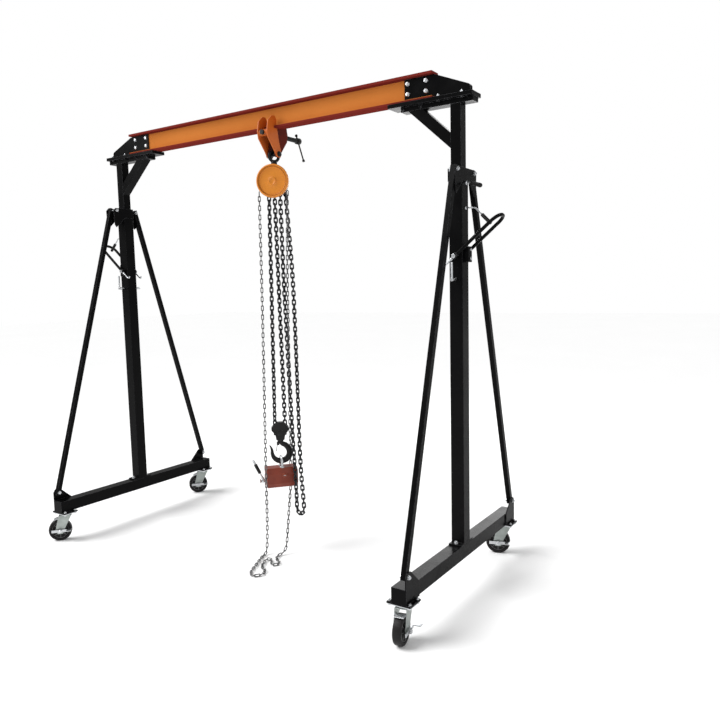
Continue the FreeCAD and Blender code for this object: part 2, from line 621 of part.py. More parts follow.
def beam_end(label, side, bolts):
    """What joins the beam to one inner post."""
    n = label + "_"
    web, saddle, cross = bolts
    rim = "BeamDepth - FlangeThick - 2"
    outline = [("SidePlateStart", "FlangeThick + 0.3"), ("SidePlateStart", rim), ("SidePlateShoulder", rim),
               ("SidePlateEnd - 7", "38"), ("SidePlateEnd", "30"), ("SidePlateEnd", "0"),
               ("BeamLength / 2 + 1", "0"), ("BeamLength / 2 + 1", "FlangeThick + 0.3")]
    corners = [("%d * (%s)" % (side, x), z) for x, z in outline]
    plates = []
    for word, way in (("front", -1), ("rear", 1)):
        steel = plate(n + "side_plate_" + word, corners, "SidePlate", "XZ",
                      ("0", "%d * (WebThick / 2 + SidePlate / 2)" % way, "BeamBottom"))
        plates.append(drilled(n + "side_drilled_" + word, steel, web))
    node(n + "side_plates", group(n + "cheeks", plates))

    top = block(n + "saddle_top", ("SaddleEnd - SaddleStart", "SaddleWidth", "SaddleThick"),
                ("%d * (SaddleEnd + SaddleStart) / 2" % side, "0", SADDLE_BOTTOM))
    head = block(n + "crosshead", ("SaddleEnd - 4 - CrossheadStart", "CrossheadWidth", "CrossheadHeight"),
                 ("%d * (SaddleEnd - 4 + CrossheadStart) / 2" % side, "0", CROSSHEAD_BOTTOM))
    node(n + "saddle", drilled(n + "saddle_drilled", fuse(n + "saddle_parts", [top, head]), saddle + cross))

    centre = "%d * Span / 2" % side
    steel = square_tube(n + "inner", "InnerTube", "InnerWall", CROSSHEAD_BOTTOM + " - InnerFoot", (centre, "0", "InnerFoot"))
    steps = int(min(SIZES["Travel"], value("PinHeight - InnerFoot - HoleDiameter / 2 - 4")) / SIZES["HolePitch"]) + 1
    holes = [rod("%shole_%d" % (n, i), "HoleDiameter", "InnerTube + 10",
                 (centre, "-InnerTube / 2 - 5", "PinHeight - %d * HolePitch" % i), "Y") for i in range(steps)]
    node(n + "inner_post", cut(n + "inner_holes", steel, fuse(n + "holes", holes)))

    run = "(Span / 2 - InnerTube / 2 - KneeReach)"
    length = "sqrt(%s * %s + KneeDrop * KneeDrop)" % (run, run)
    knee = square_tube(n + "knee", "KneeTube", "KneeWall", length + " + 120", ("0", "0", "-60"))
    start_x = "%d * (KneeReach)" % side
    seat(knee, (start_x, "0", CROSSHEAD_BOTTOM), "Y", "180 * 1 deg - %d * atan(%s / KneeDrop)" % (side, run))
    over = block(n + "knee_over", ("400", "100", "100"), (start_x, "0", CROSSHEAD_BOTTOM))
    past = block(n + "knee_past", ("100", "100", "400"),
                 ("%d * (Span / 2 - InnerTube / 2 + 50)" % side, "0", CROSSHEAD_BOTTOM + " - 400"))
    node(n + "knee_brace", cut(n + "knee_cut", knee, fuse(n + "knee_tools", [over, past])))


beam_end("left", -1, LEFT_BOLTS)
beam_end("right", 1, RIGHT_BOLTS)

# ---------------------------------------------------------------- beam clamp

PIN_HEIGHT = "(BeamBottom - ClampPinDrop)"
SPINDLE_HEIGHT = "(BeamBottom - SpindleDrop)"
JAW = [("-14", "-ClampPinDrop - 16"), ("14", "-ClampPinDrop - 16"), ("34", "-ClampPinDrop + 14"),
       ("JawReach", "-56"), ("JawReach + 6", "-22"), ("JawReach - 4", "FlangeThick + 20"),
       ("FlangeWidth / 2 + 16", "FlangeThick + 48"), ("24", "FlangeThick + 50"), ("11", "FlangeThick + 30"),
       ("11", "FlangeThick + 0.3"), ("FlangeWidth / 2 + 1", "FlangeThick + 0.3"), ("FlangeWidth / 2 + 1", "-0.3"),
       ("8", "-0.3"), ("-6", "-70"), ("-22", "-ClampPinDrop")]


def jaw(name, way, spread):
    """One jaw of the beam clamp: two plates joined by the spindle's nut."""
    corners = [("%d * (%s)" % (way, y), z) for y, z in JAW]
    plates = [plate("%s_%s" % (name, word), corners, "JawSteel", "YZ",
                    ("HoistX + %d * (%s)" % (w, spread), "0", "BeamBottom")) for word, w in (("left", -1), ("right", 1))]
    gap = "2 * (%s) - JawSteel" % spread
    middle = "%d * (JawReach - 14)" % way
    nut = rod(name + "_nut", "SpindleDiameter + 10", gap, ("HoistX - (%s) / 2" % gap, middle, SPINDLE_HEIGHT), "X")
    thread = rod(name + "_thread", "SpindleDiameter + 0.6", "60", ("HoistX", middle + " - 30", SPINDLE_HEIGHT), "Y")
    eye = rod(name + "_eye", "ClampPinDiameter + 0.6", "120", ("HoistX - 60", "0", PIN_HEIGHT), "X")
    return cut(name, fuse(name + "_steel", plates + [nut]), fuse(name + "_holes", [thread, eye]))


node("clamp_front_jaw", jaw("front_jaw", -1, "JawSpread"))
node("clamp_rear_jaw", jaw("rear_jaw", 1, "JawNest"))
spindle = rod("spindle_rod", "SpindleDiameter", "SpindleReach + JawReach + 12", ("HoistX", "-JawReach - 12", SPINDLE_HEIGHT), "Y")
collar = rod("spindle_collar", "SpindleDiameter + 10", "26", ("HoistX", "SpindleReach - 26", SPINDLE_HEIGHT), "Y")
tommy = rod("tommy_rod", "TommyDiameter", "TommyLength", ("0", "0", "-TommyLength + 34"))
balls = [rod("tommy_ball_%d" % i, "TommyDiameter + 7", "10", ("0", "0", z)) for i, z in enumerate(("-TommyLength + 30", "28"))]
tommy_bar = seat(fuse("tommy_parts", [tommy] + balls), ("HoistX", "SpindleReach - 13", SPINDLE_HEIGHT), "Y", "-18")
node("clamp_spindle", fuse("spindle_parts", [spindle, collar, tommy_bar]))
CLAMP_PIN = ("clamp_pin", "ClampPinDiameter", "2 * JawSpread + JawSteel + 1",
             ("HoistX - JawSpread - JawSteel / 2 - 0.5", "0", PIN_HEIGHT), "X")
every = [spec for group_of in LEFT_BOLTS + RIGHT_BOLTS for spec in group_of] + [CLAMP_PIN]
node("bridge_hardware", group("bridge_bolts", [bolt(spec) for spec in every]))

# ---------------------------------------------------------------- hoist


def hoisted(thing):
    return seat(thing, ("HoistX", "0", "HoistHeight"), "Z", "HoistTurn")


ring = DOC.addObject("Part::Torus", "hoist_ring")
ring.setExpression("Radius1", cells("RingRadius"))
ring.setExpression("Radius2", cells("RingBar"))
seat(ring, ("0", "0", PIN_HEIGHT + " + ClampPinDiameter / 2 + RingBar - RingRadius + 0.3"), "Y", "90")
neck_low = "(HoistHeight + CoverRadius - 22)"
ring_low = "(%s + ClampPinDiameter / 2 + 0.3 - 2 * RingRadius)" % PIN_HEIGHT
neck = rod("hoist_neck", "32", "%s + RingBar - %s" % (ring_low, neck_low), ("0", "0", neck_low))
node("hoist_top_ring", seat(fuse("top_ring", [ring, neck]), ("HoistX", "0", "0"), "Z", "RingTurn"))

cheek = [("-52", "-66"), ("52", "-66"), ("70", "-20"), ("70", "20"), ("36", "CoverRadius - 22"),
         ("-36", "CoverRadius - 22"), ("-70", "20"), ("-70", "-20")]
inside = "FrameDepth - 2 * CheekSteel"
cheeks = [plate("cheek_" + word, cheek, "CheekSteel", "XZ", ("0", "%d * (FrameDepth / 2 - CheekSteel / 2)" % way, "0"))
          for word, way in (("front", -1), ("rear", 1))]
sheave = rod("load_sheave", "2 * SheaveRadius", inside, ("0", "-(%s) / 2" % inside, "0"), "Y")
yoke = block("hoist_yoke", ("70", inside, "16"), ("0", "0", "CoverRadius - 38"))
guide = block("chain_guide", ("54", inside, "14"), ("40", "0", "-24"))
node("hoist_frame", hoisted(fuse("frame_parts", cheeks + [sheave, yoke, guide])))

front = "-CoverDepth"
cover_profile = [("0", front + " + 4"), ("16", front + " + 4"), ("18", front + " + 7"), ("CoverRadius - 14", front + " + 7"),
                 ("CoverRadius - 9", front), ("CoverRadius - 4", front), ("CoverRadius", front + " + 5"),
                 ("CoverRadius", "0"), ("0", "0")]
cover = turned("cover_turned", cover_profile, ("0", "-FrameDepth / 2", "0"))
node("handwheel_cover", hoisted(group("cover_group", [cover])))
gear_profile = [("0", "0"), ("GearRadius", "0"), ("GearRadius", "GearDepth - 8"), ("GearRadius - 8", "GearDepth"),
                ("0", "GearDepth")]
gear = turned("gear_turned", gear_profile, ("0", "FrameDepth / 2", "0"))
node("gear_cover", hoisted(group("gear_group", [gear])))

# ---------------------------------------------------------------- hook block, hook and latch


def blocked(thing):
    return seat(thing, ("BlockX", "BlockY", "0"), "Z", "BlockTurn")


low = "(BlockTop - BlockNeck)"
block_half = [("22", low), ("27", low + " + 28"), ("47", "BlockTop - 44"), ("48", "BlockTop - 28"), ("18", "BlockTop")]
block_outline = block_half + [("-(%s)" % x, z) for x, z in reversed(block_half)]
notches = [rod("block_notch_%d" % i, "LoadChainWidth + 5", "60", ("%d * FallSpread" % way, "0", "BlockTop - 44"))
           for i, way in enumerate((-1, 1))]
casing = plate("block_casing", block_outline, "BlockDepth", "XZ")
node("hook_block", blocked(cut("block_parts", casing, fuse("block_notches", notches))))

bowl = DOC.addObject("Part::Torus", "hook_bowl")
bowl.setExpression("Radius1", cells("HookRadius"))
bowl.setExpression("Radius2", cells("HookBar"))
bowl.Angle3 = 300.0
bowl.Placement = FreeCAD.Placement(FreeCAD.Vector(), FreeCAD.Rotation(FreeCAD.Vector(1, 0, 0), 90))
bowl_set = seat(group("hook_bowl_set", [bowl]), ("0", "0", "HookHeight"), "Y", "-150")
shank_low = "(HookHeight + HookRadius - 4)"
shank = rod("hook_shank", "22", "%s - %s" % (low, shank_low), ("0", "0", shank_low))
lugs = [block("latch_lug_%d" % i, ("14", "3", "14"), ("LatchX + 3", "%d * 8.5" % way, "HookHeight + LatchZ - 7"))
        for i, way in enumerate((-1, 1))]
latch_pin = rod("latch_pin", "LatchPin", "20", ("LatchX", "-10", "HookHeight + LatchZ"), "Y")
node("lower_hook", blocked(fuse("hook_parts", [bowl_set, shank, latch_pin] + lugs)))
strip = block("latch_strip", ("3", "12", "44"), ("0", "0", "-44"))
hub = rod("latch_hub", "LatchPin + 4", "12", ("0", "-6", "0"), "Y")
bore = rod("latch_bore", "LatchPin + 2 * RunningGap", "20", ("0", "-10", "0"), "Y")
latch = seat(cut("latch_cut", fuse("latch_steel", [strip, hub]), bore), ("LatchX", "0", "HookHeight + LatchZ"), "Y", "11")
node("hook_latch", blocked(group("latch_set", [latch])))

# ---------------------------------------------------------------- lifting magnet


def magnetic(thing):
    return seat(thing, ("MagnetX", "MagnetY", "MagnetBottom"), "Z", "MagnetTurn")


magnet_half = [("MagnetWidth / 2 - 12", "0"), ("MagnetWidth / 2", "22"), ("MagnetWidth / 2", "MagnetHeight - 30"),
               ("MagnetWidth / 2 - 14", "MagnetHeight")]
magnet_outline = magnet_half + [("-(%s)" % y, z) for y, z in reversed(magnet_half)]
casing = plate("magnet_casing", magnet_outline, "MagnetLength", "YZ")
boss = rod("magnet_boss", "26", "8", ("10", "-MagnetWidth / 2 - 4", "MagnetHeight - 40"), "Y")
shaft = rod("magnet_shaft", "LeverShaft", "34", ("-MagnetLength / 2 - 34", "0", "LeverHeight"), "X")
washer = rod("magnet_washer", "LeverShaft + 8", "3", ("-MagnetLength / 2 - 34", "0", "LeverHeight"), "X")
node("magnet_body", magnetic(fuse("magnet_parts", [casing, boss, shaft, washer])))

legs_low = "MagnetHeight"
arch_height = "(HookHeight - HookRadius + HookBar + 0.3 + ShackleBar - ShackleRadius - MagnetBottom)"
arch = DOC.addObject("Part::Torus", "shackle_arch")
arch.setExpression("Radius1", cells("ShackleRadius"))
arch.setExpression("Radius2", cells("ShackleBar"))
arch.Angle3 = 180.0
arch.Placement = FreeCAD.Placement(FreeCAD.Vector(), FreeCAD.Rotation(FreeCAD.Vector(1, 1, 1), 120))
arch_set = seat(group("shackle_arch_set", [arch]), ("0", "0", arch_height))
posts = [rod("shackle_leg_%d" % i, "2 * ShackleBar", "%s - %s" % (arch_height, legs_low),
             ("0", "%d * ShackleRadius" % way, legs_low)) for i, way in enumerate((-1, 1))]
shackle = fuse("shackle_parts", [arch_set] + posts)
node("magnet_shackle", seat(shackle, ("BlockX", "BlockY", "MagnetBottom"), "Z", "MagnetTurn"))

collar = rod("lever_collar", "LeverShaft + 14", "22", ("-MagnetLength / 2 - 28", "0", "LeverHeight"), "X")
bore = rod("lever_eye", "LeverShaft + 2 * RunningGap", "40", ("-MagnetLength / 2 - 38", "0", "LeverHeight"), "X")
stick = rod("lever_stick", "10", "124", ("0", "0", "0"))
grip = rod("lever_grip", "19", "58", ("0", "0", "40"))
bar = seat(fuse("lever_bar", [stick, grip]), ("-MagnetLength / 2 - 17", "0", "LeverHeight + 8"), "Y", "-25")
node("magnet_lever", magnetic(cut("lever_cut", fuse("lever_parts", [collar, bar]), bore)))

# ---------------------------------------------------------------- chains

FALL_LOW = SIZES["BlockTop"] - 43.7


def around(turn, along, across=0.0):
    """A plan offset in a set turned about the vertical."""
    a = math.radians(turn)
    return (along * math.cos(a) - across * math.sin(a), along * math.sin(a) + across * math.cos(a))


def fall(name, hoist_along, top, way):
    """One taut fall from the hoist down to the hook block."""
    x1, y1 = around(SIZES["HoistTurn"], hoist_along)
    x2, y2 = around(SIZES["BlockTurn"], way * SIZES["FallSpread"])
    high = (SIZES["HoistX"] + x1, y1, top)
    return tube(name, "LoadChainWidth", [high, (SIZES["BlockX"] + x2, SIZES["BlockY"] + y2, FALL_LOW)])


sheave_side = SIZES["SheaveRadius"] + SIZES["LoadChainWidth"] / 2.0 + 0.5
live = fall("live_fall", -sheave_side, SIZES["HoistHeight"], -1)
dead = fall("dead_fall", -4.0, SIZES["HoistHeight"] - SIZES["SheaveRadius"] - 0.5, 1)
node("load_falls", group("falls", [live, dead]))

SLACK = [(106.7, 11.0, 1984.9), (122.0, -5.0, 1585.0), (133.0, -6.0, 1250.0), (145.0, -5.0, 845.0), (152.0, -2.0, 600.0),
         (157.0, 1.0, 440.0), (159.0, 2.0, 352.0), (161.0, 1.5, 300.0), (161.0, 0.5, 262.0), (165.0, 0.0, 236.0),
         (178.0, 0.0, 217.0), (196.0, 0.0, 217.0), (208.0, 0.0, 236.0), (211.0, 0.5, 262.0), (208.0, 1.0, 300.0),
         (202.0, 3.0, 354.0), (193.0, 6.0, 445.0),
         (184.0, 12.0, 610.0), (176.0, 20.0, 860.0), (166.0, 28.0, 1240.0), (152.0, 37.5, 1585.0), (130.4, 21.6, 1984.9)]
node("slack_chain", tube("slack_load_chain", "LoadChainWidth", SLACK))

HAND = [(25.9, -63.3, 1956.0), (33.5, -77.0, 1475.0), (38.6, -93.0, 985.0), (46.0, -113.5, 500.0), (47.0, -117.5, 258.0),
        (45.5, -119.5, 138.0), (44.0, -122.0, 78.0), (44.0, -125.0, 38.0), (46.0, -136.0, 12.0), (52.0, -161.0, 8.8),
        (60.0, -186.0, 8.8), (76.0, -225.0, 8.8), (95.0, -265.0, 8.8), (118.0, -318.0, 8.8), (138.0, -358.0, 8.8),
        (160.0, -387.0, 8.8), (188.0, -394.0, 8.8), (208.0, -376.0, 8.8), (212.0, -347.0, 8.8), (197.0, -319.0, 8.8),
        (172.0, -301.0, 8.8), (147.0, -286.0, 8.8), (130.0, -263.0, 8.8), (119.0, -238.0, 8.8), (102.0, -209.0, 8.8),
        (112.0, -184.0, 8.8), (139.0, -200.0, 8.8), (160.0, -228.0, 8.8), (186.0, -238.0, 8.8), (200.0, -216.0, 8.8),
        (184.0, -190.0, 8.8), (151.0, -171.0, 8.8), (129.0, -149.0, 8.8), (124.0, -119.0, 8.8), (130.0, -92.0, 13.0),
        (136.0, -70.0, 40.0), (126.0, -46.0, 100.0), (104.0, -4.0, 200.0), (74.0, 50.0, 292.0), (56.0, 84.0, 348.0),
        (52.0, 90.0, 403.0), (53.0, 90.0, 462.0), (58.0, 86.0, 560.0), (68.0, 77.0, 740.0), (98.0, 52.0, 1080.0),
        (136.0, 13.0, 1585.0), (166.6, -0.7, 1956.0)]
node("hand_chain", tube("hand_chain_tube", "HandChainWidth", HAND))

# ---------------------------------------------------------------- check and write

DOC.recompute()
for thing in DOC.Objects:
    if "Invalid" in thing.State or "Error" in thing.State:
        raise RuntimeError("%s (%s): %s" % (thing.Name, thing.Label, thing.State))
for label, thing in NODES.items():
    if thing.Label != label:
        raise RuntimeError("label %s was taken" % label)
    if thing.Shape.isNull() or not thing.Shape.isValid():
        raise RuntimeError("%s has no valid shape" % label)
os.makedirs("parts", exist_ok=True)
for label, thing in NODES.items():
    thing.Shape.exportStep("parts/%s.step" % label)
print("%d nodes" % len(NODES))
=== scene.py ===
"""Looks of a portable gantry crane with a hand-chain hoist, a load hook and a lifting magnet.

Sizes and places are metres. The frame's Y is the drawing's Y plus ORIGIN_Y.
"""

import math

import bmesh
import bpy
import numpy as np
from mathutils import Matrix, Vector


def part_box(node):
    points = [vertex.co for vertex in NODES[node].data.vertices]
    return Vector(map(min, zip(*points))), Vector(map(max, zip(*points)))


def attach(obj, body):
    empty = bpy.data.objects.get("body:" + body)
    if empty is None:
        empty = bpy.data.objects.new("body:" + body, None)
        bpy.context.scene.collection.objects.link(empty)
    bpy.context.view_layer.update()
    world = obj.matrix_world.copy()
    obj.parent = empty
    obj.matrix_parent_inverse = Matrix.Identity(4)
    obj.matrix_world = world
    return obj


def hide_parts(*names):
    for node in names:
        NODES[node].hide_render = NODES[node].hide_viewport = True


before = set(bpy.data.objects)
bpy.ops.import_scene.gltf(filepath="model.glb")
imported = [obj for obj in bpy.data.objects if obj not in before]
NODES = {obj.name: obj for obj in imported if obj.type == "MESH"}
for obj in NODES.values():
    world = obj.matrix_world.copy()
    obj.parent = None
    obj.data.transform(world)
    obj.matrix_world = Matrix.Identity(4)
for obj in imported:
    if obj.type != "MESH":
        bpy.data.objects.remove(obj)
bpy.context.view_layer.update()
ORIGIN_Y = 0.02574
SIDES = (("left", -1), ("right", 1))
POST_HALF = 0.0325


def middle(node):
    """The middle of a CAD node's box."""
    low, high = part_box(node)
    return (low + high) / 2


# ---------------------------------------------------------------- camera


def camera():
    """The photograph's angle: low, from the front and right of the hoist."""
    azimuth, elevation, roll = (math.radians(v) for v in (33.419, 6.051, -1.2554))
    right = Vector((math.cos(azimuth), math.sin(azimuth), 0))
    ahead = Vector((-math.sin(azimuth) * math.cos(elevation), math.cos(azimuth) * math.cos(elevation),
                    -math.sin(elevation)))
    up = right.cross(ahead)
    side = right * math.cos(roll) + up * math.sin(roll)
    top = up * math.cos(roll) - right * math.sin(roll)
    data = bpy.data.cameras.new("camera")
    data.lens = 34.47
    data.sensor_width = 36.0
    data.clip_start = 0.05
    thing = bpy.data.objects.new("camera", data)
    bpy.context.scene.collection.objects.link(thing)
    turn = Matrix((side, top, -ahead)).transposed().to_4x4()
    thing.matrix_world = Matrix.Translation((2.4996, -2.8808 + ORIGIN_Y, 1.4471)) @ turn
    bpy.context.scene.camera = thing


camera()

# ---------------------------------------------------------------- materials

COAT_ROUGHNESS = 0.12
FLECK_SHARE = 0.28
EDGE_NOISE_SCALE = 34.0
EDGE_STARTS, EDGE_FULL = 0.985, 0.86
BUMP_DEPTH = 0.001


def finish(name, colour, rough, metal=0.0, second=None, patch=5.0, spread=0.45, grain=260.0, bump=0.06,
           coat=0.0, scuff_and_highlight=None, edge_amount=0.5, radius=0.0016, speckle=0.1, gloss=0.5):
    """A slightly uneven surface: patchy colour, fine bump, uneven gloss, and a lighter colour on patches of the
    edges that is partly scuffed paint and partly painted highlight.
    """
    material = bpy.data.materials.new(name)
    material.use_nodes = True
    tree = material.node_tree
    surface = tree.nodes["Principled BSDF"]
    surface.inputs["Metallic"].default_value = metal
    surface.inputs["Specular IOR Level"].default_value = gloss
    surface.inputs["Coat Weight"].default_value = coat
    surface.inputs["Coat Roughness"].default_value = COAT_ROUGHNESS
    new, link = tree.nodes.new, tree.links.new
    place = new("ShaderNodeTexCoord").outputs["Object"]

    def noise(scale, detail, rough_share=0.6):
        node = new("ShaderNodeTexNoise")
        node.inputs["Scale"].default_value = scale
        node.inputs["Detail"].default_value = detail
        node.inputs["Roughness"].default_value = rough_share
        link(place, node.inputs["Vector"])
        return node.outputs["Fac"]

    def spread_out(value, low, high, to_low=0.0, to_high=1.0):
        node = new("ShaderNodeMapRange")
        link(value, node.inputs["Value"])
        for key, number in (("From Min", low), ("From Max", high), ("To Min", to_low), ("To Max", to_high)):
            node.inputs[key].default_value = number
        return node.outputs["Result"]

    def mixed(share, a, b):
        node = new("ShaderNodeMix")
        node.data_type = "RGBA"
        link(share, node.inputs["Factor"])
        for key, value in ((6, a), (7, b)):
            if isinstance(value, tuple):
                node.inputs[key].default_value = (*value, 1.0)
            else:
                link(value, node.inputs[key])
        return node.outputs[2]

    def times(a, b):
        node = new("ShaderNodeMath")
        node.operation = "MULTIPLY"
        link(a, node.inputs[0])
        if isinstance(b, float):
            node.inputs[1].default_value = b
        else:
            link(b, node.inputs[1])
        return node.outputs[0]

    broad = noise(patch, 6.0)
    fine = noise(grain, 3.0)
    flecks = noise(grain * FLECK_SHARE, 8.0, 0.75)
    second = second or tuple(v * 0.62 for v in colour)
    bright = tuple(min(1.0, v * 1.7 + 0.02) for v in colour)
    shade = mixed(spread_out(broad, 0.5 - spread / 2, 0.5 + spread / 2), colour, second)
    shade = mixed(times(spread_out(flecks, 0.56, 0.72), speckle), shade, bright)
    if scuff_and_highlight:
        # The bevelled normal leaves the real one only near an edge.
        soft = new("ShaderNodeBevel")
        soft.samples = 4
        soft.inputs["Radius"].default_value = radius
        real = new("ShaderNodeNewGeometry")
        turn = new("ShaderNodeVectorMath")
        turn.operation = "DOT_PRODUCT"
        link(soft.outputs["Normal"], turn.inputs[0])
        link(real.outputs["Normal"], turn.inputs[1])
        edge = spread_out(turn.outputs["Value"], EDGE_STARTS, EDGE_FULL)
        # Partly scuffing and partly painted highlight: a lighter colour in patches along the edges.
        scuff_and_highlight_mask = times(edge, spread_out(noise(EDGE_NOISE_SCALE, 5.0), 0.62 - edge_amount * 0.3, 0.72 - edge_amount * 0.2))
        shade = mixed(scuff_and_highlight_mask, shade, scuff_and_highlight)
    link(shade, surface.inputs["Base Color"])
    uneven = spread_out(noise(patch * 4.0, 5.0), 0.3, 0.7, max(0.04, rough - 0.09), rough + 0.12)
    link(uneven, surface.inputs["Roughness"])
    rise = new("ShaderNodeBump")
    rise.inputs["Strength"].default_value = bump
    rise.inputs["Distance"].default_value = BUMP_DEPTH
    link(fine, rise.inputs["Height"])
    link(rise.outputs["Normal"], surface.inputs["Normal"])
    return material


def painted_shade_bands(material, low, high, colour):
    """Painted shade: another colour on the material below one height and above another, with a soft edge."""
    tree = material.node_tree
    surface = tree.nodes["Principled BSDF"]
    new, link = tree.nodes.new, tree.links.new
    place = new("ShaderNodeTexCoord")
    parts = new("ShaderNodeSeparateXYZ")
    link(place.outputs["Object"], parts.inputs[0])
    shares = []
    for start, end in (low, high):
        node = new("ShaderNodeMapRange")
        link(parts.outputs["Z"], node.inputs["Value"])
        node.inputs["From Min"].default_value = start
        node.inputs["From Max"].default_value = end
        shares.append(node.outputs["Result"])
    most = new("ShaderNodeMath")
    most.operation = "MAXIMUM"
    link(shares[0], most.inputs[0])
    link(shares[1], most.inputs[1])
    blend = new("ShaderNodeMix")
    blend.data_type = "RGBA"
    link(most.outputs[0], blend.inputs["Factor"])
    link(surface.inputs["Base Color"].links[0].from_socket, blend.inputs[6])
    blend.inputs[7].default_value = (*colour, 1.0)
    link(blend.outputs[2], surface.inputs["Base Color"])
    return material


# Painted highlight: the black paint's light edge colour stands for thin highlight lines along its edges.
BLACK = finish("gloss_black_paint", (0.0024, 0.0024, 0.0027), 0.24, second=(0.0046, 0.0045, 0.0046), patch=3.0,
               scuff_and_highlight=(0.15, 0.15, 0.16), edge_amount=0.8, radius=0.0022, bump=0.05, speckle=0.02, gloss=0.045)
ORANGE = finish("orange_beam_paint", (0.575, 0.198, 0.043), 0.4, second=(0.49, 0.155, 0.032), patch=1.6,
                scuff_and_highlight=(0.72, 0.34, 0.1), edge_amount=0.8, bump=0.05, speckle=0.05, gloss=0.0)
BEAM_LOW, BEAM_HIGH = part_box("i_beam")
# Painted shade: the flanges' edges and undersides, which the lights leave in shade, are deep maroon, and the
# band reaches a little onto the web under the top flange. The top millimetre of the bottom flange's edge stays
# orange as a thin painted highlight line.
BEAM = painted_shade_bands(ORANGE, (BEAM_LOW.z + 0.0112, BEAM_LOW.z + 0.0098), (BEAM_HIGH.z - 0.0152, BEAM_HIGH.z - 0.0136),
              (0.158, 0.021, 0.016))
CLAMP = finish("orange_clamp_paint", (0.56, 0.125, 0.014), 0.38, second=(0.42, 0.085, 0.01), coat=0.08,
               patch=9.0, scuff_and_highlight=(0.72, 0.3, 0.09), edge_amount=0.9, radius=0.0022, gloss=0.24)
# Painted shade: a darker copy of the clamp paint for the rear jaw, which stands in shade.
CLAMP_DARK = finish("shaded_clamp_paint", (0.12, 0.013, 0.006), 0.45, second=(0.07, 0.009, 0.005), patch=12.0,
                    scuff_and_highlight=(0.3, 0.06, 0.015), edge_amount=0.6, speckle=0.04, gloss=0.04)
HOIST = finish("amber_hoist_paint", (0.68, 0.245, 0.028), 0.36, second=(0.58, 0.185, 0.02), coat=0.1,
               patch=8.0, scuff_and_highlight=(0.85, 0.45, 0.14), edge_amount=0.9, radius=0.002, gloss=0.26)
# Painted shade: a darker copy of the hoist paint for the ring in the hand wheel cover's groove.
GROOVE = finish("shaded_hoist_paint", (0.3, 0.085, 0.01), 0.5, second=(0.22, 0.06, 0.008), patch=14.0,
                gloss=0.1)
GEAR = finish("dark_gear_paint", (0.05, 0.009, 0.006), 0.36, second=(0.02, 0.006, 0.005), coat=0.1, patch=14.0,
              scuff_and_highlight=(0.42, 0.36, 0.33), edge_amount=0.9, speckle=0.05, gloss=0.3)
MAGNET = finish("red_magnet_paint", (0.235, 0.033, 0.011), 0.36, second=(0.13, 0.017, 0.007), coat=0.2,
                patch=10.0, scuff_and_highlight=(0.56, 0.15, 0.06), edge_amount=0.9, radius=0.0022, gloss=0.26)
ZINC = finish("bright_zinc", (0.62, 0.63, 0.64), 0.28, metal=1.0, second=(0.46, 0.48, 0.5), patch=26.0,
              bump=0.08, scuff_and_highlight=(0.85, 0.86, 0.88), edge_amount=0.7, radius=0.001)
FORK = finish("aged_zinc", (0.4, 0.43, 0.41), 0.37, metal=0.9, second=(0.27, 0.3, 0.285), patch=16.0,
              bump=0.12, scuff_and_highlight=(0.72, 0.74, 0.74), edge_amount=0.9, speckle=0.25)
FORGED = finish("forged_black", (0.006, 0.006, 0.0065), 0.36, second=(0.012, 0.011, 0.011), patch=18.0,
                bump=0.3, grain=170.0, scuff_and_highlight=(0.1, 0.1, 0.1), edge_amount=0.6, speckle=0.05, gloss=0.2)
LINK = finish("black_chain_steel", (0.04, 0.041, 0.044), 0.27, metal=0.85, second=(0.015, 0.0155, 0.017),
              patch=30.0, bump=0.12, scuff_and_highlight=(0.4, 0.4, 0.42), edge_amount=0.5, radius=0.0012)
HAND_LINK = finish("hand_chain_zinc", (0.2, 0.2, 0.2), 0.3, metal=0.95, second=(0.07, 0.07, 0.072), patch=34.0,
                   spread=0.25, bump=0.1, scuff_and_highlight=(0.6, 0.6, 0.6), edge_amount=0.5, radius=0.001)
TYRE = finish("black_tyre", (0.007, 0.0065, 0.007), 0.44, second=(0.016, 0.0145, 0.0145), patch=22.0,
              bump=0.3, grain=220.0, scuff_and_highlight=(0.07, 0.066, 0.062), edge_amount=0.8, radius=0.003, gloss=0.16)
HUB = finish("grey_hub", (0.1, 0.1, 0.1), 0.45, second=(0.05, 0.05, 0.05), metal=0.3, patch=30.0, bump=0.15,
             scuff_and_highlight=(0.3, 0.3, 0.3), edge_amount=0.6)
GRIP = finish("black_grip", (0.006, 0.006, 0.006), 0.42, second=(0.013, 0.012, 0.012), patch=40.0, bump=0.35,
              grain=320.0, scuff_and_highlight=(0.06, 0.06, 0.06), edge_amount=0.5, gloss=0.2)

# ---------------------------------------------------------------- frames and shapes


def along(origin, direction, spin=0.0):
    """A frame at a point whose Z runs along a direction."""
    turn = Vector(direction).normalized().to_track_quat("Z", "Y").to_matrix().to_4x4()
    return Matrix.Translation(origin) @ turn @ Matrix.Rotation(math.radians(spin), 4, "Z")


def upright(spot, degrees):
    """A frame at a point, turned about the vertical."""
    return Matrix.Translation(spot) @ Matrix.Rotation(math.radians(degrees), 4, "Z")


def walls(count, rings=2):
    """Faces between rings of points, each with the same count."""
    return [(j * count + i, j * count + (i + 1) % count, (j + 1) * count + (i + 1) % count, (j + 1) * count + i)
            for j in range(rings - 1) for i in range(count)]


def lathed(profile, place, steps=40, ring=False):
    """A profile of (radius, height) turned about a frame's Z, capped unless it closes as a ring."""
    points = []
    for radius, height in profile:
        for i in range(steps):
            a = 2 * math.pi * i / steps
            points.append(place @ Vector((radius * math.cos(a), radius * math.sin(a), height)))
    faces = walls(steps, len(profile))
    last = (len(profile) - 1) * steps
    if ring:
        return points, faces + [(last + i, last + (i + 1) % steps, (i + 1) % steps, i) for i in range(steps)]
    if profile[0][0] > 0.0002:
        faces.append(tuple(reversed(range(steps))))
    if profile[-1][0] > 0.0002:
        faces.append(tuple(range(last, last + steps)))
    return points, faces


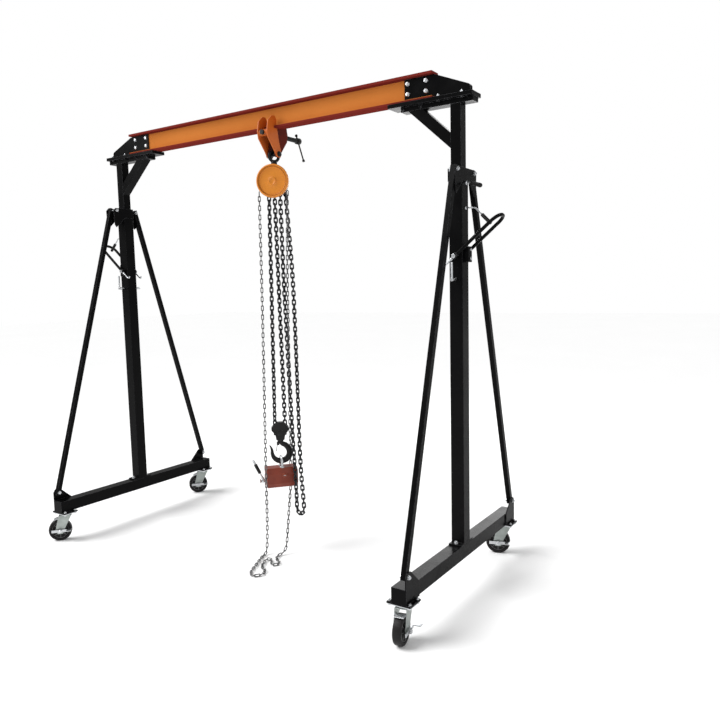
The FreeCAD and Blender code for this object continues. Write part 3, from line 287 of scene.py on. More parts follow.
def boxed(low, high, place=Matrix.Identity(4), cut=0.0):
    """A box between two corners in a frame, with its upright corners cut."""
    (x0, y0, z0), (x1, y1, z1) = low, high
    c = cut
    outline = [(x0 + c, y0), (x1 - c, y0), (x1, y0 + c), (x1, y1 - c), (x1 - c, y1), (x0 + c, y1),
               (x0, y1 - c), (x0, y0 + c)]
    if not c:
        outline = [(x0, y0), (x1, y0), (x1, y1), (x0, y1)]
    n = len(outline)
    points = [place @ Vector((x, y, z)) for z in (z0, z1) for x, y in outline]
    return points, walls(n) + [tuple(reversed(range(n))), tuple(range(n, 2 * n))]


def profiled(outline, x, thick):
    """A plate across X with its outline given in Y and Z."""
    n = len(outline)
    points = [Vector((x + way * thick / 2, ORIGIN_Y + y, z)) for way in (-1, 1) for y, z in outline]
    rims = [(i, n + i, n + (i + 1) % n, (i + 1) % n) for i in range(n)]
    return points, [tuple(range(n)), tuple(reversed(range(n, 2 * n)))] + rims


def swept(line, wide, thick=None, normal=None, sides=14):
    """A bar along a line of points, with its half width and half thickness as one number or one per point."""
    line = [Vector(p) for p in line]
    widths = [wide] * len(line) if isinstance(wide, float) else list(wide)
    depths = widths if thick is None else list(thick)
    points = []
    cross = Vector(normal) if normal else None
    for i, point in enumerate(line):
        way = (line[min(i + 1, len(line) - 1)] - line[max(i - 1, 0)]).normalized()
        if cross is None:
            cross = way.orthogonal().normalized()
        cross = (cross - way * cross.dot(way)).normalized()
        across = way.cross(cross)
        for k in range(sides):
            a = 2 * math.pi * k / sides
            points.append(point + across * (widths[i] * math.cos(a)) + cross * (depths[i] * math.sin(a)))
    faces = walls(sides, len(line))
    faces.append(tuple(reversed(range(sides))))
    faces.append(tuple(range((len(line) - 1) * sides, len(line) * sides)))
    return points, faces


def flowing(keys, steps=6):
    """A smooth line through rows of numbers."""
    rows = np.array(keys, float)
    padded = np.vstack([2 * rows[0] - rows[1], rows, 2 * rows[-1] - rows[-2]])
    out = []
    for i in range(1, len(padded) - 2):
        p0, p1, p2, p3 = padded[i - 1:i + 3]
        for j in range(steps):
            t = j / steps
            out.append(0.5 * (2 * p1 + (p2 - p0) * t + (2 * p0 - 5 * p1 + 4 * p2 - p3) * t * t
                              + (3 * p1 - p0 - 3 * p2 + p3) * t ** 3))
    return np.array(out + [rows[-1]])


def hexed(across, thick, place):
    """A hexagon head or nut with its corners turned down."""
    outer = across / math.sqrt(3)
    sides = [(outer * 0.93, 0.0), (outer, thick * 0.06), (outer, thick * 0.8), (outer * 0.86, thick)]
    dome = [(outer * 0.84, thick * 0.99), (outer * 0.6, thick * 1.06), (0.0001, thick * 1.06)]
    return [lathed(sides, place, steps=6), lathed(dome, place, steps=18)]


def threaded(diameter, length, place):
    """The end of a bolt with its thread's ridges."""
    r = diameter / 2
    turns = max(2, int(length / 0.0016))
    profile = [(r * 0.9, 0.0)]
    for i in range(turns):
        profile += [(r, length * (i + 0.35) / turns), (r * 0.9, length * (i + 0.9) / turns)]
    return lathed(profile + [(r * 0.8, length), (0.0001, length)], place, steps=16)


# ---------------------------------------------------------------- pieces


def gathered(name, shapes, smooth=38.0):
    """One mesh from several (points, faces) shapes, smooth where its faces turn little."""
    points, faces = [], []
    for some, more in shapes:
        start = len(points)
        points.extend(some)
        faces.extend(tuple(start + i for i in face) for face in more)
    mesh = bpy.data.meshes.new(name)
    mesh.from_pydata([tuple(p) for p in points], [], faces)
    form = bmesh.new()
    form.from_mesh(mesh)
    bmesh.ops.remove_doubles(form, verts=form.verts, dist=0.00002)
    bmesh.ops.recalc_face_normals(form, faces=form.faces)
    for face in form.faces:
        face.smooth = True
    for edge in form.edges:
        if len(edge.link_faces) == 2 and edge.calc_face_angle(0.0) > math.radians(smooth):
            edge.smooth = False
    form.to_mesh(mesh)
    form.free()
    return mesh


def piece(name, mesh, material, body, slot, *replaced):
    """A finished mesh as a piece on a CAD body."""
    thing = bpy.data.objects.new(name, mesh)
    bpy.context.scene.collection.objects.link(thing)
    mesh.materials.append(material)
    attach(thing, body)
    if replaced:
        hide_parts(*replaced)
    return thing


def built(name, shapes, material, body, slot, *replaced, smooth=38.0):
    """A piece made of (points, faces) shapes."""
    return piece(name, gathered(name, shapes, smooth), material, body, slot, *replaced)


def softened(thing, width, segments=2, angle=32.0):
    """Rounded edges that catch the light."""
    edges = thing.modifiers.new("edges", "BEVEL")
    edges.width = width
    edges.segments = segments
    edges.limit_method = "ANGLE"
    edges.angle_limit = math.radians(angle)
    edges.harden_normals = True
    edges.use_clamp_overlap = False


def dressed(node, material, width):
    """A CAD node with its own finish and softened edges."""
    thing = NODES[node]
    if not thing.material_slots:
        thing.data.materials.append(material)
    for place in thing.material_slots:
        place.material = material
    join = thing.modifiers.new("join", "WELD")
    join.merge_threshold = 0.00001
    flat = thing.modifiers.new("flat", "DECIMATE")
    flat.decimate_type = "DISSOLVE"
    flat.angle_limit = math.radians(0.6)
    softened(thing, width)


def islands(node):
    """Boxes of the separate solids in a CAD node."""
    mesh = NODES[node].data
    spots = np.array([v.co for v in mesh.vertices], float)
    keys, index = np.unique(np.round(spots, 5), axis=0, return_inverse=True)
    index = index.reshape(-1)
    owner = list(range(len(keys)))

    def top(i):
        while owner[i] != i:
            owner[i] = owner[owner[i]]
            i = owner[i]
        return i

    for face in mesh.polygons:
        first = top(index[face.vertices[0]])
        for v in face.vertices[1:]:
            owner[top(index[v])] = first
    groups = {}
    for i in range(len(keys)):
        groups.setdefault(top(i), []).append(keys[i])
    return [(Vector(np.min(g, axis=0)), Vector(np.max(g, axis=0))) for g in groups.values()]


# ---------------------------------------------------------------- chains

LOAD_WIRE, LOAD_PITCH, LOAD_WIDTH = 0.008, 0.024, 0.025
HAND_WIRE, HAND_PITCH, HAND_WIDTH = 0.005, 0.024, 0.016
SLACK = [(0.1067, 0.011, 1.9849), (0.122, -0.005, 1.585), (0.133, -0.006, 1.25), (0.145, -0.005, 0.845),
         (0.152, -0.002, 0.6), (0.157, 0.001, 0.44), (0.159, 0.002, 0.352), (0.161, 0.0015, 0.3),
         (0.161, 0.0005, 0.262), (0.165, 0, 0.236), (0.178, 0, 0.217), (0.196, 0, 0.217), (0.208, 0, 0.236),
         (0.211, 0.0005, 0.262), (0.208, 0.001, 0.3), (0.202, 0.003, 0.354), (0.193, 0.006, 0.445),
         (0.184, 0.012, 0.61), (0.176, 0.02, 0.86), (0.166, 0.028, 1.24), (0.152, 0.0375, 1.585),
         (0.1304, 0.0216, 1.9849)]
HAND = [(0.0259, -0.0633, 1.956), (0.0335, -0.077, 1.475), (0.0386, -0.093, 0.985), (0.046, -0.1135, 0.5),
        (0.047, -0.1175, 0.258), (0.0455, -0.1195, 0.138), (0.044, -0.122, 0.078), (0.044, -0.125, 0.038),
        (0.046, -0.136, 0.012), (0.052, -0.161, 0.0088), (0.06, -0.186, 0.0088), (0.076, -0.225, 0.0088),
        (0.095, -0.265, 0.0088), (0.118, -0.318, 0.0088), (0.138, -0.358, 0.0088), (0.16, -0.387, 0.0088),
        (0.188, -0.394, 0.0088), (0.208, -0.376, 0.0088), (0.212, -0.347, 0.0088), (0.197, -0.319, 0.0088),
        (0.172, -0.301, 0.0088), (0.147, -0.286, 0.0088), (0.13, -0.263, 0.0088), (0.119, -0.238, 0.0088),
        (0.102, -0.209, 0.0088), (0.112, -0.184, 0.0088), (0.139, -0.2, 0.0088), (0.16, -0.228, 0.0088),
        (0.186, -0.238, 0.0088), (0.2, -0.216, 0.0088), (0.184, -0.19, 0.0088), (0.151, -0.171, 0.0088),
        (0.129, -0.149, 0.0088), (0.124, -0.119, 0.0088), (0.13, -0.092, 0.013), (0.136, -0.07, 0.04),
        (0.126, -0.046, 0.1), (0.104, -0.004, 0.2), (0.074, 0.05, 0.292), (0.056, 0.084, 0.348),
        (0.052, 0.09, 0.403), (0.053, 0.09, 0.462), (0.058, 0.086, 0.56), (0.068, 0.077, 0.74),
        (0.098, 0.052, 1.08), (0.136, 0.013, 1.585), (0.1666, -0.0007, 1.956)]


def centreline(name, points):
    """Points along the smooth line of a chain's route."""
    curve = bpy.data.curves.new(name + "_route", "CURVE")
    curve.dimensions = "3D"
    curve.resolution_u = 24
    spline = curve.splines.new("NURBS")
    spline.points.add(len(points) - 1)
    for spot, (x, y, z) in zip(spline.points, points):
        spot.co = (x, y + ORIGIN_Y, z, 1.0)
    spline.order_u = 3
    spline.use_endpoint_u = True
    holder = bpy.data.objects.new(name + "_route", curve)
    bpy.context.scene.collection.objects.link(holder)
    mesh = bpy.data.meshes.new_from_object(holder)
    line = [vertex.co.copy() for vertex in mesh.vertices]
    bpy.data.objects.remove(holder)
    bpy.data.curves.remove(curve)
    bpy.data.meshes.remove(mesh)
    return line


def linked(line, pitch, wire, width, twist=0.0, start=45.0, ring=20, sides=8):
    """Interlocking links of round wire along a line, each a quarter turn from the last."""
    spots = np.array(line, float)
    steps = np.linalg.norm(np.diff(spots, axis=0), axis=1)
    spots = spots[np.concatenate([[True], steps > 1e-7])]
    run = np.concatenate([[0.0], np.cumsum(np.linalg.norm(np.diff(spots, axis=0), axis=1))])
    tangents = np.gradient(spots, run, axis=0)
    tangents /= np.linalg.norm(tangents, axis=1)[:, None]
    normals = [np.cross(tangents[0], (0.0, 1.0, 0.0))]
    for tangent in tangents:
        n = normals[-1] - tangent * normals[-1].dot(tangent)
        normals.append(n / np.linalg.norm(n))
    normals = np.array(normals[1:])

    def read(rows, at):
        return np.array([np.interp(at, run, rows[:, k]) for k in range(3)])

    count = int(round(run[-1] / pitch))
    real_pitch = run[-1] / count
    bend = (width - wire) / 2
    half = (real_pitch + 2 * wire - width) / 2
    points, faces = [], []
    for i in range(count):
        at = (i + 0.5) * real_pitch
        centre = read(spots, at)
        t = read(spots, min(run[-1], at + real_pitch / 2)) - read(spots, max(0.0, at - real_pitch / 2))
        t /= np.linalg.norm(t)
        n = read(normals, at)
        n -= t * n.dot(t)
        n /= np.linalg.norm(n)
        b = np.cross(t, n)
        uneven = twist * math.sin(at * 3.1) + 4.0 * math.sin(i * 2.399)
        angle = math.radians(start + 90.0 * (i % 2) + uneven)
        side = n * math.cos(angle) + b * math.sin(angle)
        out = np.cross(t, side)
        base = len(points)
        for j in range(ring):
            a = 2 * math.pi * (j + 0.5) / ring
            push = half if math.cos(a) > 0 else -half
            wire_at = t * (push + bend * math.cos(a)) + side * (bend * math.sin(a))
            away = t * math.cos(a) + side * math.sin(a)
            for k in range(sides):
                c = 2 * math.pi * k / sides
                spot = centre + wire_at + (away * math.cos(c) + out * math.sin(c)) * (wire / 2)
                points.append(tuple(spot))
        for j in range(ring):
            for k in range(sides):
                near, far, p = base + j * sides, base + (j + 1) % ring * sides, (k + 1) % sides
                faces.append((near + k, far + k, far + p, near + p))
    return points, faces


def chain_mesh(name, shape):
    """A chain's links as one smooth mesh."""
    mesh = bpy.data.meshes.new(name)
    mesh.from_pydata(shape[0], [], shape[1])
    mesh.shade_smooth()
    return mesh


def chains():
    """The slack load chain and the hand chain, each a free cord from the hoist and back into it."""
    slack_line = centreline("slack_chain", SLACK)
    mesh = chain_mesh("slack_links", linked(slack_line, LOAD_PITCH, LOAD_WIRE, LOAD_WIDTH, 25.0))
    slack = piece("slack_chain_links", mesh, LINK, "bridge", "chain_steel", "slack_chain")
    hand_line = centreline("hand_chain", HAND)
    mesh = chain_mesh("hand_links", linked(hand_line, HAND_PITCH, HAND_WIRE, HAND_WIDTH, 0.0))
    hand = piece("hand_chain_links", mesh, HAND_LINK, "bridge", "chain_zinc", "hand_chain")


chains()

# ---------------------------------------------------------------- CAD nodes that keep their shape

LEG_EDGES = {"base_beam": 0.0012, "outer_post": 0.0022, "front_brace": 0.0016, "rear_brace": 0.0016,
             "side_plates": 0.0008, "saddle": 0.0012, "knee_brace": 0.0022, "inner_post": 0.0009}
# The rear jaw takes the darker clamp paint as painted shade.
NODE_EDGES = {"i_beam": (BEAM, 0.0012), "clamp_front_jaw": (CLAMP, 0.0012),
              "clamp_rear_jaw": (CLAMP_DARK, 0.0012), "clamp_spindle": (GRIP, 0.001),
              "hoist_top_ring": (FORGED, 0.001), "hoist_frame": (FORGED, 0.0015), "gear_cover": (GEAR, 0.002),
              "hook_block": (FORGED, 0.0025), "hook_latch": (FORGED, 0.0008), "magnet_body": (MAGNET, 0.0025),
              "magnet_shackle": (ZINC, 0.001)}
# The way each wheel trails from its kingpin, in degrees.
TRAILS = {"left_front": -130, "left_rear": -132, "right_front": -80, "right_rear": 200}

for side in ("left", "right"):
    for node, width in LEG_EDGES.items():
        dressed(side + "_" + node, BLACK, width)
    dressed(side + "_lock_pin", ZINC, 0.0012)
for corner in TRAILS:
    dressed(corner + "_fork", FORK, 0.0008)
    dressed(corner + "_pedal", ZINC, 0.0008)
    dressed(corner + "_wheel", TYRE, 0.0016)
for node, (material, width) in NODE_EDGES.items():
    dressed(node, material, width)

# ---------------------------------------------------------------- bolts

WASHER = 0.12
BRACKET_BOLTS_FROM = 1.9
SADDLE_BOLTS_BELOW = 2.27
PLATE_BOLT_X, PLATE_BOLT_Y, PLATE_BOLT_HALF = 0.047, 0.032, 0.008


def fastener(low, high, across=1.6, head=0.58, tail=0.4, disc=0.96, ends=(True, True)):
    """Head, washers, shank, nut and thread end in the box of a CAD bolt, sized by its diameter."""
    size = high - low
    axis = max(range(3), key=lambda i: size[i])
    diameter = min(size[i] for i in range(3) if i != axis) / 2
    seat = 0.7 * diameter
    way = Vector([1.0 if i == axis else 0.0 for i in range(3)])
    centre = (low + high) / 2
    first = centre - way * (size[axis] / 2 - seat)
    last = centre + way * (size[axis] / 2 - seat)
    flat = [(diameter * disc, 0.0), (diameter * disc, diameter * 0.08),
            (diameter * (disc - 0.05), diameter * WASHER), (diameter * 0.5, diameter * WASHER)]
    shapes = []
    if all(ends):
        shapes.append(lathed([(diameter / 2, 0.0), (diameter / 2, (last - first).length)], along(first, way),
                             steps=16))
    for wanted, spot, out, spin in ((ends[0], first, -way, 11.0), (ends[1], last, way, 37.0)):
        if wanted:
            shapes.append(lathed(flat, along(spot, out), steps=24))
            seating = along(spot + out * diameter * WASHER, out, spin)
            shapes += hexed(diameter * across, diameter * head, seating)
    if ends[1]:
        spot = last + way * diameter * (WASHER + head)
        shapes.append(threaded(diameter, diameter * tail, along(spot, way)))
    return shapes


def caster_plate(low, high):
    """A caster's zinc top plate with its four bolts."""
    centre = (low + high) / 2
    under = low.z + 0.0056
    shapes = [boxed((low.x, low.y, under), (high.x, high.y, under + 0.004), cut=0.004)]
    r = PLATE_BOLT_HALF
    for x in (-PLATE_BOLT_X, PLATE_BOLT_X):
        for y in (-PLATE_BOLT_Y, PLATE_BOLT_Y):
            spot = Vector((centre.x + x, centre.y + y, 0))
            shapes += fastener(spot + Vector((-r, -r, low.z)), spot + Vector((r, r, high.z)))
    return shapes


def leg_bolts(side, sign):
    """A leg's bolts, shorter through its head on the side where the bracket has no inner plate."""
    body = side + "_leg"
    inner = middle(side + "_outer_post").x - sign * 0.001
    shapes = []
    for low, high in islands(body + "_hardware"):
        flat = (high - low).x > 0.06 and (high - low).y > 0.06
        if low.z > BRACKET_BOLTS_FROM and ((low + high).y / 2 - ORIGIN_Y) * sign < 0:
            low.x, high.x = (low.x, inner) if sign < 0 else (inner, high.x)
        shapes += caster_plate(low, high) if flat else fastener(low, high)
    built(body + "_bolts", shapes, ZINC, body, "zinc", body + "_hardware")


def bridge_bolts():
    """The bridge's bolts: bright on its side plates, painted over under its saddles, and the clamp's pin."""
    bright, painted, pin = [], [], []
    for low, high in islands("bridge_hardware"):
        size = high - low
        if min(size) > 0.035:
            pin = fastener(low, high, across=1.2, head=0.3, tail=0.1, disc=0.75)
        elif high.z < SADDLE_BOLTS_BELOW:
            painted += fastener(low, high, across=1.5, disc=0.9)
        elif size.z > size.y:
            painted += fastener(low, high, across=1.45, disc=0.86, ends=(True, False))
            bright += fastener(low, high, across=1.45, disc=0.86, ends=(False, True))
        else:
            bright += fastener(low, high, across=1.45, head=0.5, tail=0.1, disc=0.84)
    built("bridge_bolts", bright, ZINC, "bridge", "zinc", "bridge_hardware")
    built("saddle_bolts", painted, BLACK, "bridge", "frame_black")
    built("clamp_pin", pin, FORGED, "bridge", "forged_black")


for side, sign in SIDES:
    leg_bolts(side, sign)
bridge_bolts()

# ---------------------------------------------------------------- head brackets


def head_bracket(side, sign):
    """A full outer plate, half an inner plate, and the bright rim of the post's top."""
    low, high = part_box(side + "_head_bracket")
    reach, top, foot = (high.y - low.y) / 2, high.z, low.z
    thick = ((high.x - low.x) - 0.065) / 2
    flap = [(-POST_HALF, top), (reach - 0.014, top), (reach, top - 0.014), (reach - 0.004, foot + 0.015),
            (reach - 0.016, foot), (POST_HALF, foot + 0.06), (-POST_HALF, foot + 0.06)]
    wide = flap[1:6] + [(-y, z) for y, z in reversed(flap[1:6])]
    short = [(y * sign, z) for y, z in flap]
    x = (low.x + high.x) / 2
    plates = [profiled(wide, x + sign * (POST_HALF + thick / 2), thick),
              profiled(short, x - sign * (POST_HALF + thick / 2), thick)]
    softened(built(side + "_head_plates", plates, BLACK, side + "_leg", "frame_black", side + "_head_bracket"),
             0.0009)
    rim = [boxed((x - 0.0315, ORIGIN_Y + a, top - 0.013), (x + 0.0315, ORIGIN_Y + b, top - 0.0008), cut=0.0004)
           for a, b in ((-0.0336, -0.0323), (0.0323, 0.0336))]
    built(side + "_post_rim", rim, ZINC, side + "_leg", "zinc")


for side, sign in SIDES:
    head_bracket(side, sign)

# ---------------------------------------------------------------- hoist, falls, hook block and hook

HOIST_FRAME = upright((0.082, ORIGIN_Y, middle("handwheel_cover").z), 24)
BLOCK_SPOT = middle("hook_block")
BLOCK_FRAME = upright((BLOCK_SPOT.x, BLOCK_SPOT.y, 0), 40)
HOOK_MIDDLE = 0.55
DISH = [(0.0845, 0.0135), (0.087, 0.0145), (0.087, 0.026), (0.0862, 0.0298), (0.084, 0.0328), (0.0808, 0.034),
        (0.0774, 0.0334), (0.075, 0.0308), (0.0738, 0.0272), (0.0722, 0.0256), (0.069, 0.025), (0.045, 0.0254),
        (0.0235, 0.0252), (0.0215, 0.0262), (0.0198, 0.0296), (0.0182, 0.0305), (0.0152, 0.0304),
        (0.0138, 0.0288), (0.0122, 0.0278), (0.0001, 0.0276)]
DISH_GROOVE = [(0.0776, 0.0337), (0.0753, 0.0313), (0.0741, 0.0276), (0.0722, 0.0259), (0.0722, 0.0252),
               (0.0741, 0.0266), (0.0776, 0.0325)]
DRUM = [(0.0001, 0.0), (0.08, 0.0), (0.0835, 0.002), (0.0838, 0.0045), (0.0822, 0.0062), (0.0822, 0.0095),
        (0.0838, 0.0112), (0.0845, 0.0135)]
# Along the hook from its neck to its tip: place in its plane, half width and half thickness.
HOOK = [(0.0, 0.071, 0.0112, 0.0112), (0.0, 0.059, 0.0112, 0.0112), (0.009, 0.0475, 0.0132, 0.0115),
        (0.028, 0.0375, 0.0152, 0.0118), (0.0438, 0.0185, 0.0168, 0.0122), (0.0488, -0.004, 0.0174, 0.0124),
        (0.0425, -0.0265, 0.0176, 0.0124), (0.0245, -0.043, 0.017, 0.0122), (0.002, -0.0492, 0.0162, 0.0118),
        (-0.0205, -0.0452, 0.0146, 0.0112), (-0.0382, -0.0305, 0.0124, 0.0104),
        (-0.0468, -0.0095, 0.01, 0.0094), (-0.0482, 0.0095, 0.0078, 0.008), (-0.0525, 0.0255, 0.0054, 0.006),
        (-0.0605, 0.0395, 0.0022, 0.003)]
SWIVEL = [(0.011, 0.0), (0.0155, 0.002), (0.0165, 0.005), (0.0165, 0.0095), (0.0185, 0.0105), (0.0195, 0.0138),
          (0.012, 0.0138)]
RIVET = [(0.0001, 0.0), (0.004, 0.0), (0.004, 0.001), (0.0025, 0.0015), (0.0025, 0.0215), (0.004, 0.022),
         (0.004, 0.023), (0.0001, 0.023)]


def moved(shapes, place):
    """Shapes carried into a frame."""
    return [([place @ Vector(p) for p in points], faces) for points, faces in shapes]


def hoist():
    """The hand wheel's pressed cover and drum, and the bolts through the hoist."""
    front = HOIST_FRAME @ along((0, -0.02, 0), (0, -1, 0))
    built("handwheel_dish", [lathed(DISH, front, steps=72)], HOIST, "bridge", "hoist_yellow", "handwheel_cover",
          smooth=50.0)
    # The groove ring is painted shade in the cover's recess.
    built("handwheel_groove", [lathed(DISH_GROOVE, front, steps=72, ring=True)], GROOVE, "bridge",
          "hoist_yellow", smooth=50.0)
    built("handwheel_drum", [lathed(DRUM, front, steps=72)], GEAR, "bridge", "forged_black", smooth=50.0)
    stays, nuts = [], []
    for x, z in ((-0.045, -0.056), (0.045, -0.056), (0.0, 0.058)):
        stays += fastener(Vector((x - 0.008, -0.0275, z - 0.008)), Vector((x + 0.008, 0.0275, z + 0.008)))
    for i in range(3):
        a = math.radians(90 + 120 * i)
        spot = Vector((0.042 * math.cos(a), 0.042 * math.sin(a), -0.0002))
        nuts += hexed(0.011, 0.005, Matrix.Translation(spot))
    rear = HOIST_FRAME @ along((0, 0.054, 0), (0, 1, 0))
    built("hoist_bolts", moved(stays, HOIST_FRAME) + moved(nuts, rear), ZINC, "bridge", "zinc")


def load_falls():
    """The two taut falls of the load chain."""
    points, faces = [], []
    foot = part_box("load_falls")[0].z + 0.004
    for start, drop, end, turn in ((-0.033, 0.0, -0.028, 20.0), (-0.004, -0.0205, 0.028, 62.0)):
        top = HOIST_FRAME @ Vector((start, 0, drop))
        low = BLOCK_FRAME @ Vector((end, 0, foot))
        line = [top.lerp(low, i / 60) for i in range(61)]
        some, more = linked(line, LOAD_PITCH, LOAD_WIRE, LOAD_WIDTH, 8.0, turn)
        faces += [tuple(i + len(points) for i in face) for face in more]
        points += some
    mesh = chain_mesh("load_fall_links", (points, faces))
    piece("load_fall_links", mesh, LINK, "bridge", "chain_steel", "load_falls")


def hook():
    """The forged hook with its swivel collar and latch rivet, and the bolts and caps of its block."""
    rows = flowing(HOOK, 5)
    bowl = [BLOCK_FRAME @ Vector((x, 0, HOOK_MIDDLE + z)) for x, z, wide, thick in rows]
    across = BLOCK_FRAME.to_3x3() @ Vector((0, 1, 0))
    forging = swept(bowl, [row[2] for row in rows], [row[3] for row in rows], across, 20)
    collar = lathed(SWIVEL, BLOCK_FRAME @ along((0, 0, 0.606), (0, 0, 1)), steps=32)
    rivet = lathed(RIVET, BLOCK_FRAME @ along((-0.017, -0.0115, 0.598), (0, 1, 0)), steps=16)
    ears = [boxed((-0.021, y - 0.0015, 0.59), (-0.007, y + 0.0015, 0.606), BLOCK_FRAME)
            for y in (-0.0085, 0.0085)]
    built("forged_hook", [forging, collar, rivet] + ears, FORGED, "bridge", "forged_black", "lower_hook",
          smooth=50.0)
    trim = []
    for y, way in ((-0.02, -1), (0.02, 1)):
        for x in (-0.029, 0.029):
            trim += hexed(0.0125, 0.0055, BLOCK_FRAME @ along((x, y, 0.655), (0, way, 0), 20.0))
        trim.append(lathed([(0.0165, 0.0), (0.0165, 0.0012), (0.015, 0.002), (0.0001, 0.002)],
                           BLOCK_FRAME @ along((0, y, 0.662), (0, way, 0)), steps=32))
    built("hook_block_trim", trim, FORGED, "bridge", "forged_black")


hoist()
load_falls()
hook()

# ---------------------------------------------------------------- magnet

MAGNET_TURN = 50
MAGNET_LOW, MAGNET_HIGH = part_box("magnet_body")
MAGNET_FRAME = upright((0.062, -0.005 + ORIGIN_Y, MAGNET_LOW.z), MAGNET_TURN)
MAGNET_END = 0.084
LEVER_LEAN = math.radians(25)
SCREW = [(0.0001, 0.0), (0.0042, 0.0), (0.0042, 0.0016), (0.003, 0.0026), (0.0001, 0.0026)]
BOSS = [(0.0001, 0.0), (0.0085, 0.0), (0.0085, 0.0018), (0.0078, 0.0026), (0.0001, 0.0026)]
CUP = [(0.0125, 0.0), (0.0125, 0.003), (0.0105, 0.006), (0.007, 0.0065)]
LEVER_HUB = [(0.0165, 0.0), (0.0165, 0.0035), (0.013, 0.0055), (0.008, 0.0055)]
LEVER_COLLAR = [(0.0071, 0.0), (0.0095, 0.0), (0.0105, 0.0015), (0.0105, 0.0205), (0.0095, 0.022),
                (0.0071, 0.022)]
LEVER_BAR = [(0.007, -0.002), (0.007, 0.012), (0.0052, 0.018), (0.0048, 0.03), (0.0048, 0.098), (0.0062, 0.1),
             (0.0066, 0.118), (0.0055, 0.1225), (0.003, 0.124), (0.0001, 0.124)]


def magnet():
    """The magnet's screws and cups, and its end plates with their screw heads."""
    slot = MAGNET_FRAME @ along((0.01, -0.054, 0.068), (0, -1, 0))
    bright = [boxed((-0.0072, -0.0009, 0.0025), (0.0072, 0.0009, 0.0029), slot)]
    roof = upright((BLOCK_SPOT.x, BLOCK_SPOT.y, MAGNET_HIGH.z), MAGNET_TURN)
    bright += [lathed(CUP, roof @ Matrix.Translation((0, y, 0)), steps=28) for y in (-0.024, 0.024)]
    bright.append(lathed(LEVER_HUB, MAGNET_FRAME @ along((-MAGNET_END, 0, 0.035), (-1, 0, 0)), steps=32))
    lids, screws = [], [lathed(BOSS, slot, steps=28)]
    outline = [(0.036, 0.006), (0.0455, 0.024), (0.0455, 0.077), (0.033, 0.101)]
    outline += [(-y, z) for y, z in reversed(outline)]
    n = len(outline)
    for x, way in ((MAGNET_END, 1), (-MAGNET_END, -1)):
        rim = [MAGNET_FRAME @ Vector((x, y, z)) for y, z in outline]
        lid = [MAGNET_FRAME @ Vector((x + way * 0.0014, y * 0.97, 0.054 + (z - 0.054) * 0.97))
               for y, z in outline]
        lids.append((rim + lid, walls(n) + [tuple(range(n, 2 * n))]))
        for y, z in ((-0.034, 0.03), (0.034, 0.03), (-0.03, 0.086), (0.03, 0.086)):
            screws.append(lathed(SCREW, MAGNET_FRAME @ along((x + way * 0.0012, y, z), (way, 0, 0)), steps=14))
    built("magnet_screws", bright, ZINC, "bridge", "zinc")
    built("magnet_end_plates", lids + screws, MAGNET, "bridge", "magnet_red")


def magnet_lever():
    """The magnet's switch lever and its ribbed grip."""
    stick = MAGNET_FRAME @ along((-0.101, 0, 0.043), (-math.sin(LEVER_LEAN), 0, math.cos(LEVER_LEAN)))
    collar = MAGNET_FRAME @ along((-0.1122, 0, 0.035), (1, 0, 0))
    bar = [lathed(LEVER_COLLAR, collar, steps=32), lathed(LEVER_BAR, stick, steps=24)]
    built("lever_bar", bar, ZINC, "magnet_switch", "zinc", "magnet_lever")
    ribs = [(0.0052, 0.04), (0.0085, 0.041)]
    for i in range(7):
        ribs += [(0.0095, 0.044 + i * 0.0073), (0.0095, 0.0475 + i * 0.0073), (0.0084, 0.0487 + i * 0.0073),
                 (0.0084, 0.0498 + i * 0.0073)]
    ribs += [(0.0085, 0.0965), (0.0052, 0.098)]
    built("lever_grip", [lathed(ribs, stick, steps=24)], GRIP, "magnet_switch", "handle_black")


magnet()
magnet_lever()

# ---------------------------------------------------------------- casters

KINGPIN_REACH = 0.547
HUB_CAP = [(0.0205, 0.0135), (0.0205, 0.0192), (0.0188, 0.0202), (0.0125, 0.0202), (0.0115, 0.0188),
           (0.0062, 0.0188)]
HUB_RIM = [(0.0462, 0.0138), (0.0462, 0.0165), (0.0448, 0.0176), (0.0436, 0.0165), (0.0436, 0.0138)]
SHOE_INSIDE, SHOE_LIP, SHOE_OUTSIDE = 0.0685, 0.0705, 0.071
SHOE_START, SHOE_STEP, SHOE_COUNT = 64, 4, 6


def hub(corner, axle, axis):
    """The wheel's hub cap, rim and ribs on both sides."""
    shapes = []
    for way in (1, -1):
        face = along(axle, axis * way)
        shapes.append(lathed(HUB_CAP, face, steps=36))
        shapes.append(lathed(HUB_RIM, face, steps=48, ring=True))
        for i in range(8):
            spoke = face @ Matrix.Rotation(math.pi * i / 4, 4, "Z")
            shapes.append(boxed((0.0195, -0.0018, 0.0135), (0.0442, 0.0018, 0.0166), spoke))
    built(corner + "_hub", shapes, HUB, corner + "_roller", "wheel_black")


def brake_shoe(place):
    """A bent strip over the tyre, in the wheel's frame, with a rolled lip."""
    points = []
    for i in range(SHOE_COUNT):
        a = math.radians(SHOE_START + SHOE_STEP * i)
        wide = 0.0215 + 0.001 * i
        points += [place @ Vector((r * math.cos(a), y, r * math.sin(a)))
                   for r, y in ((SHOE_INSIDE, -wide), (SHOE_INSIDE, wide), (SHOE_OUTSIDE, wide),
                                (SHOE_OUTSIDE, -wide))]
    last = 4 * (SHOE_COUNT - 1)
    strip = (points, walls(4, SHOE_COUNT) + [(3, 2, 1, 0), (last, last + 1, last + 2, last + 3)])
    a = math.radians(SHOE_START)
    edge = place @ along((SHOE_LIP * math.cos(a), -0.0216, SHOE_LIP * math.sin(a)), (0, 1, 0))
    return [strip, lathed([(0.0001, 0.0), (0.002, 0.0), (0.002, 0.0432), (0.0001, 0.0432)], edge, steps=12)]


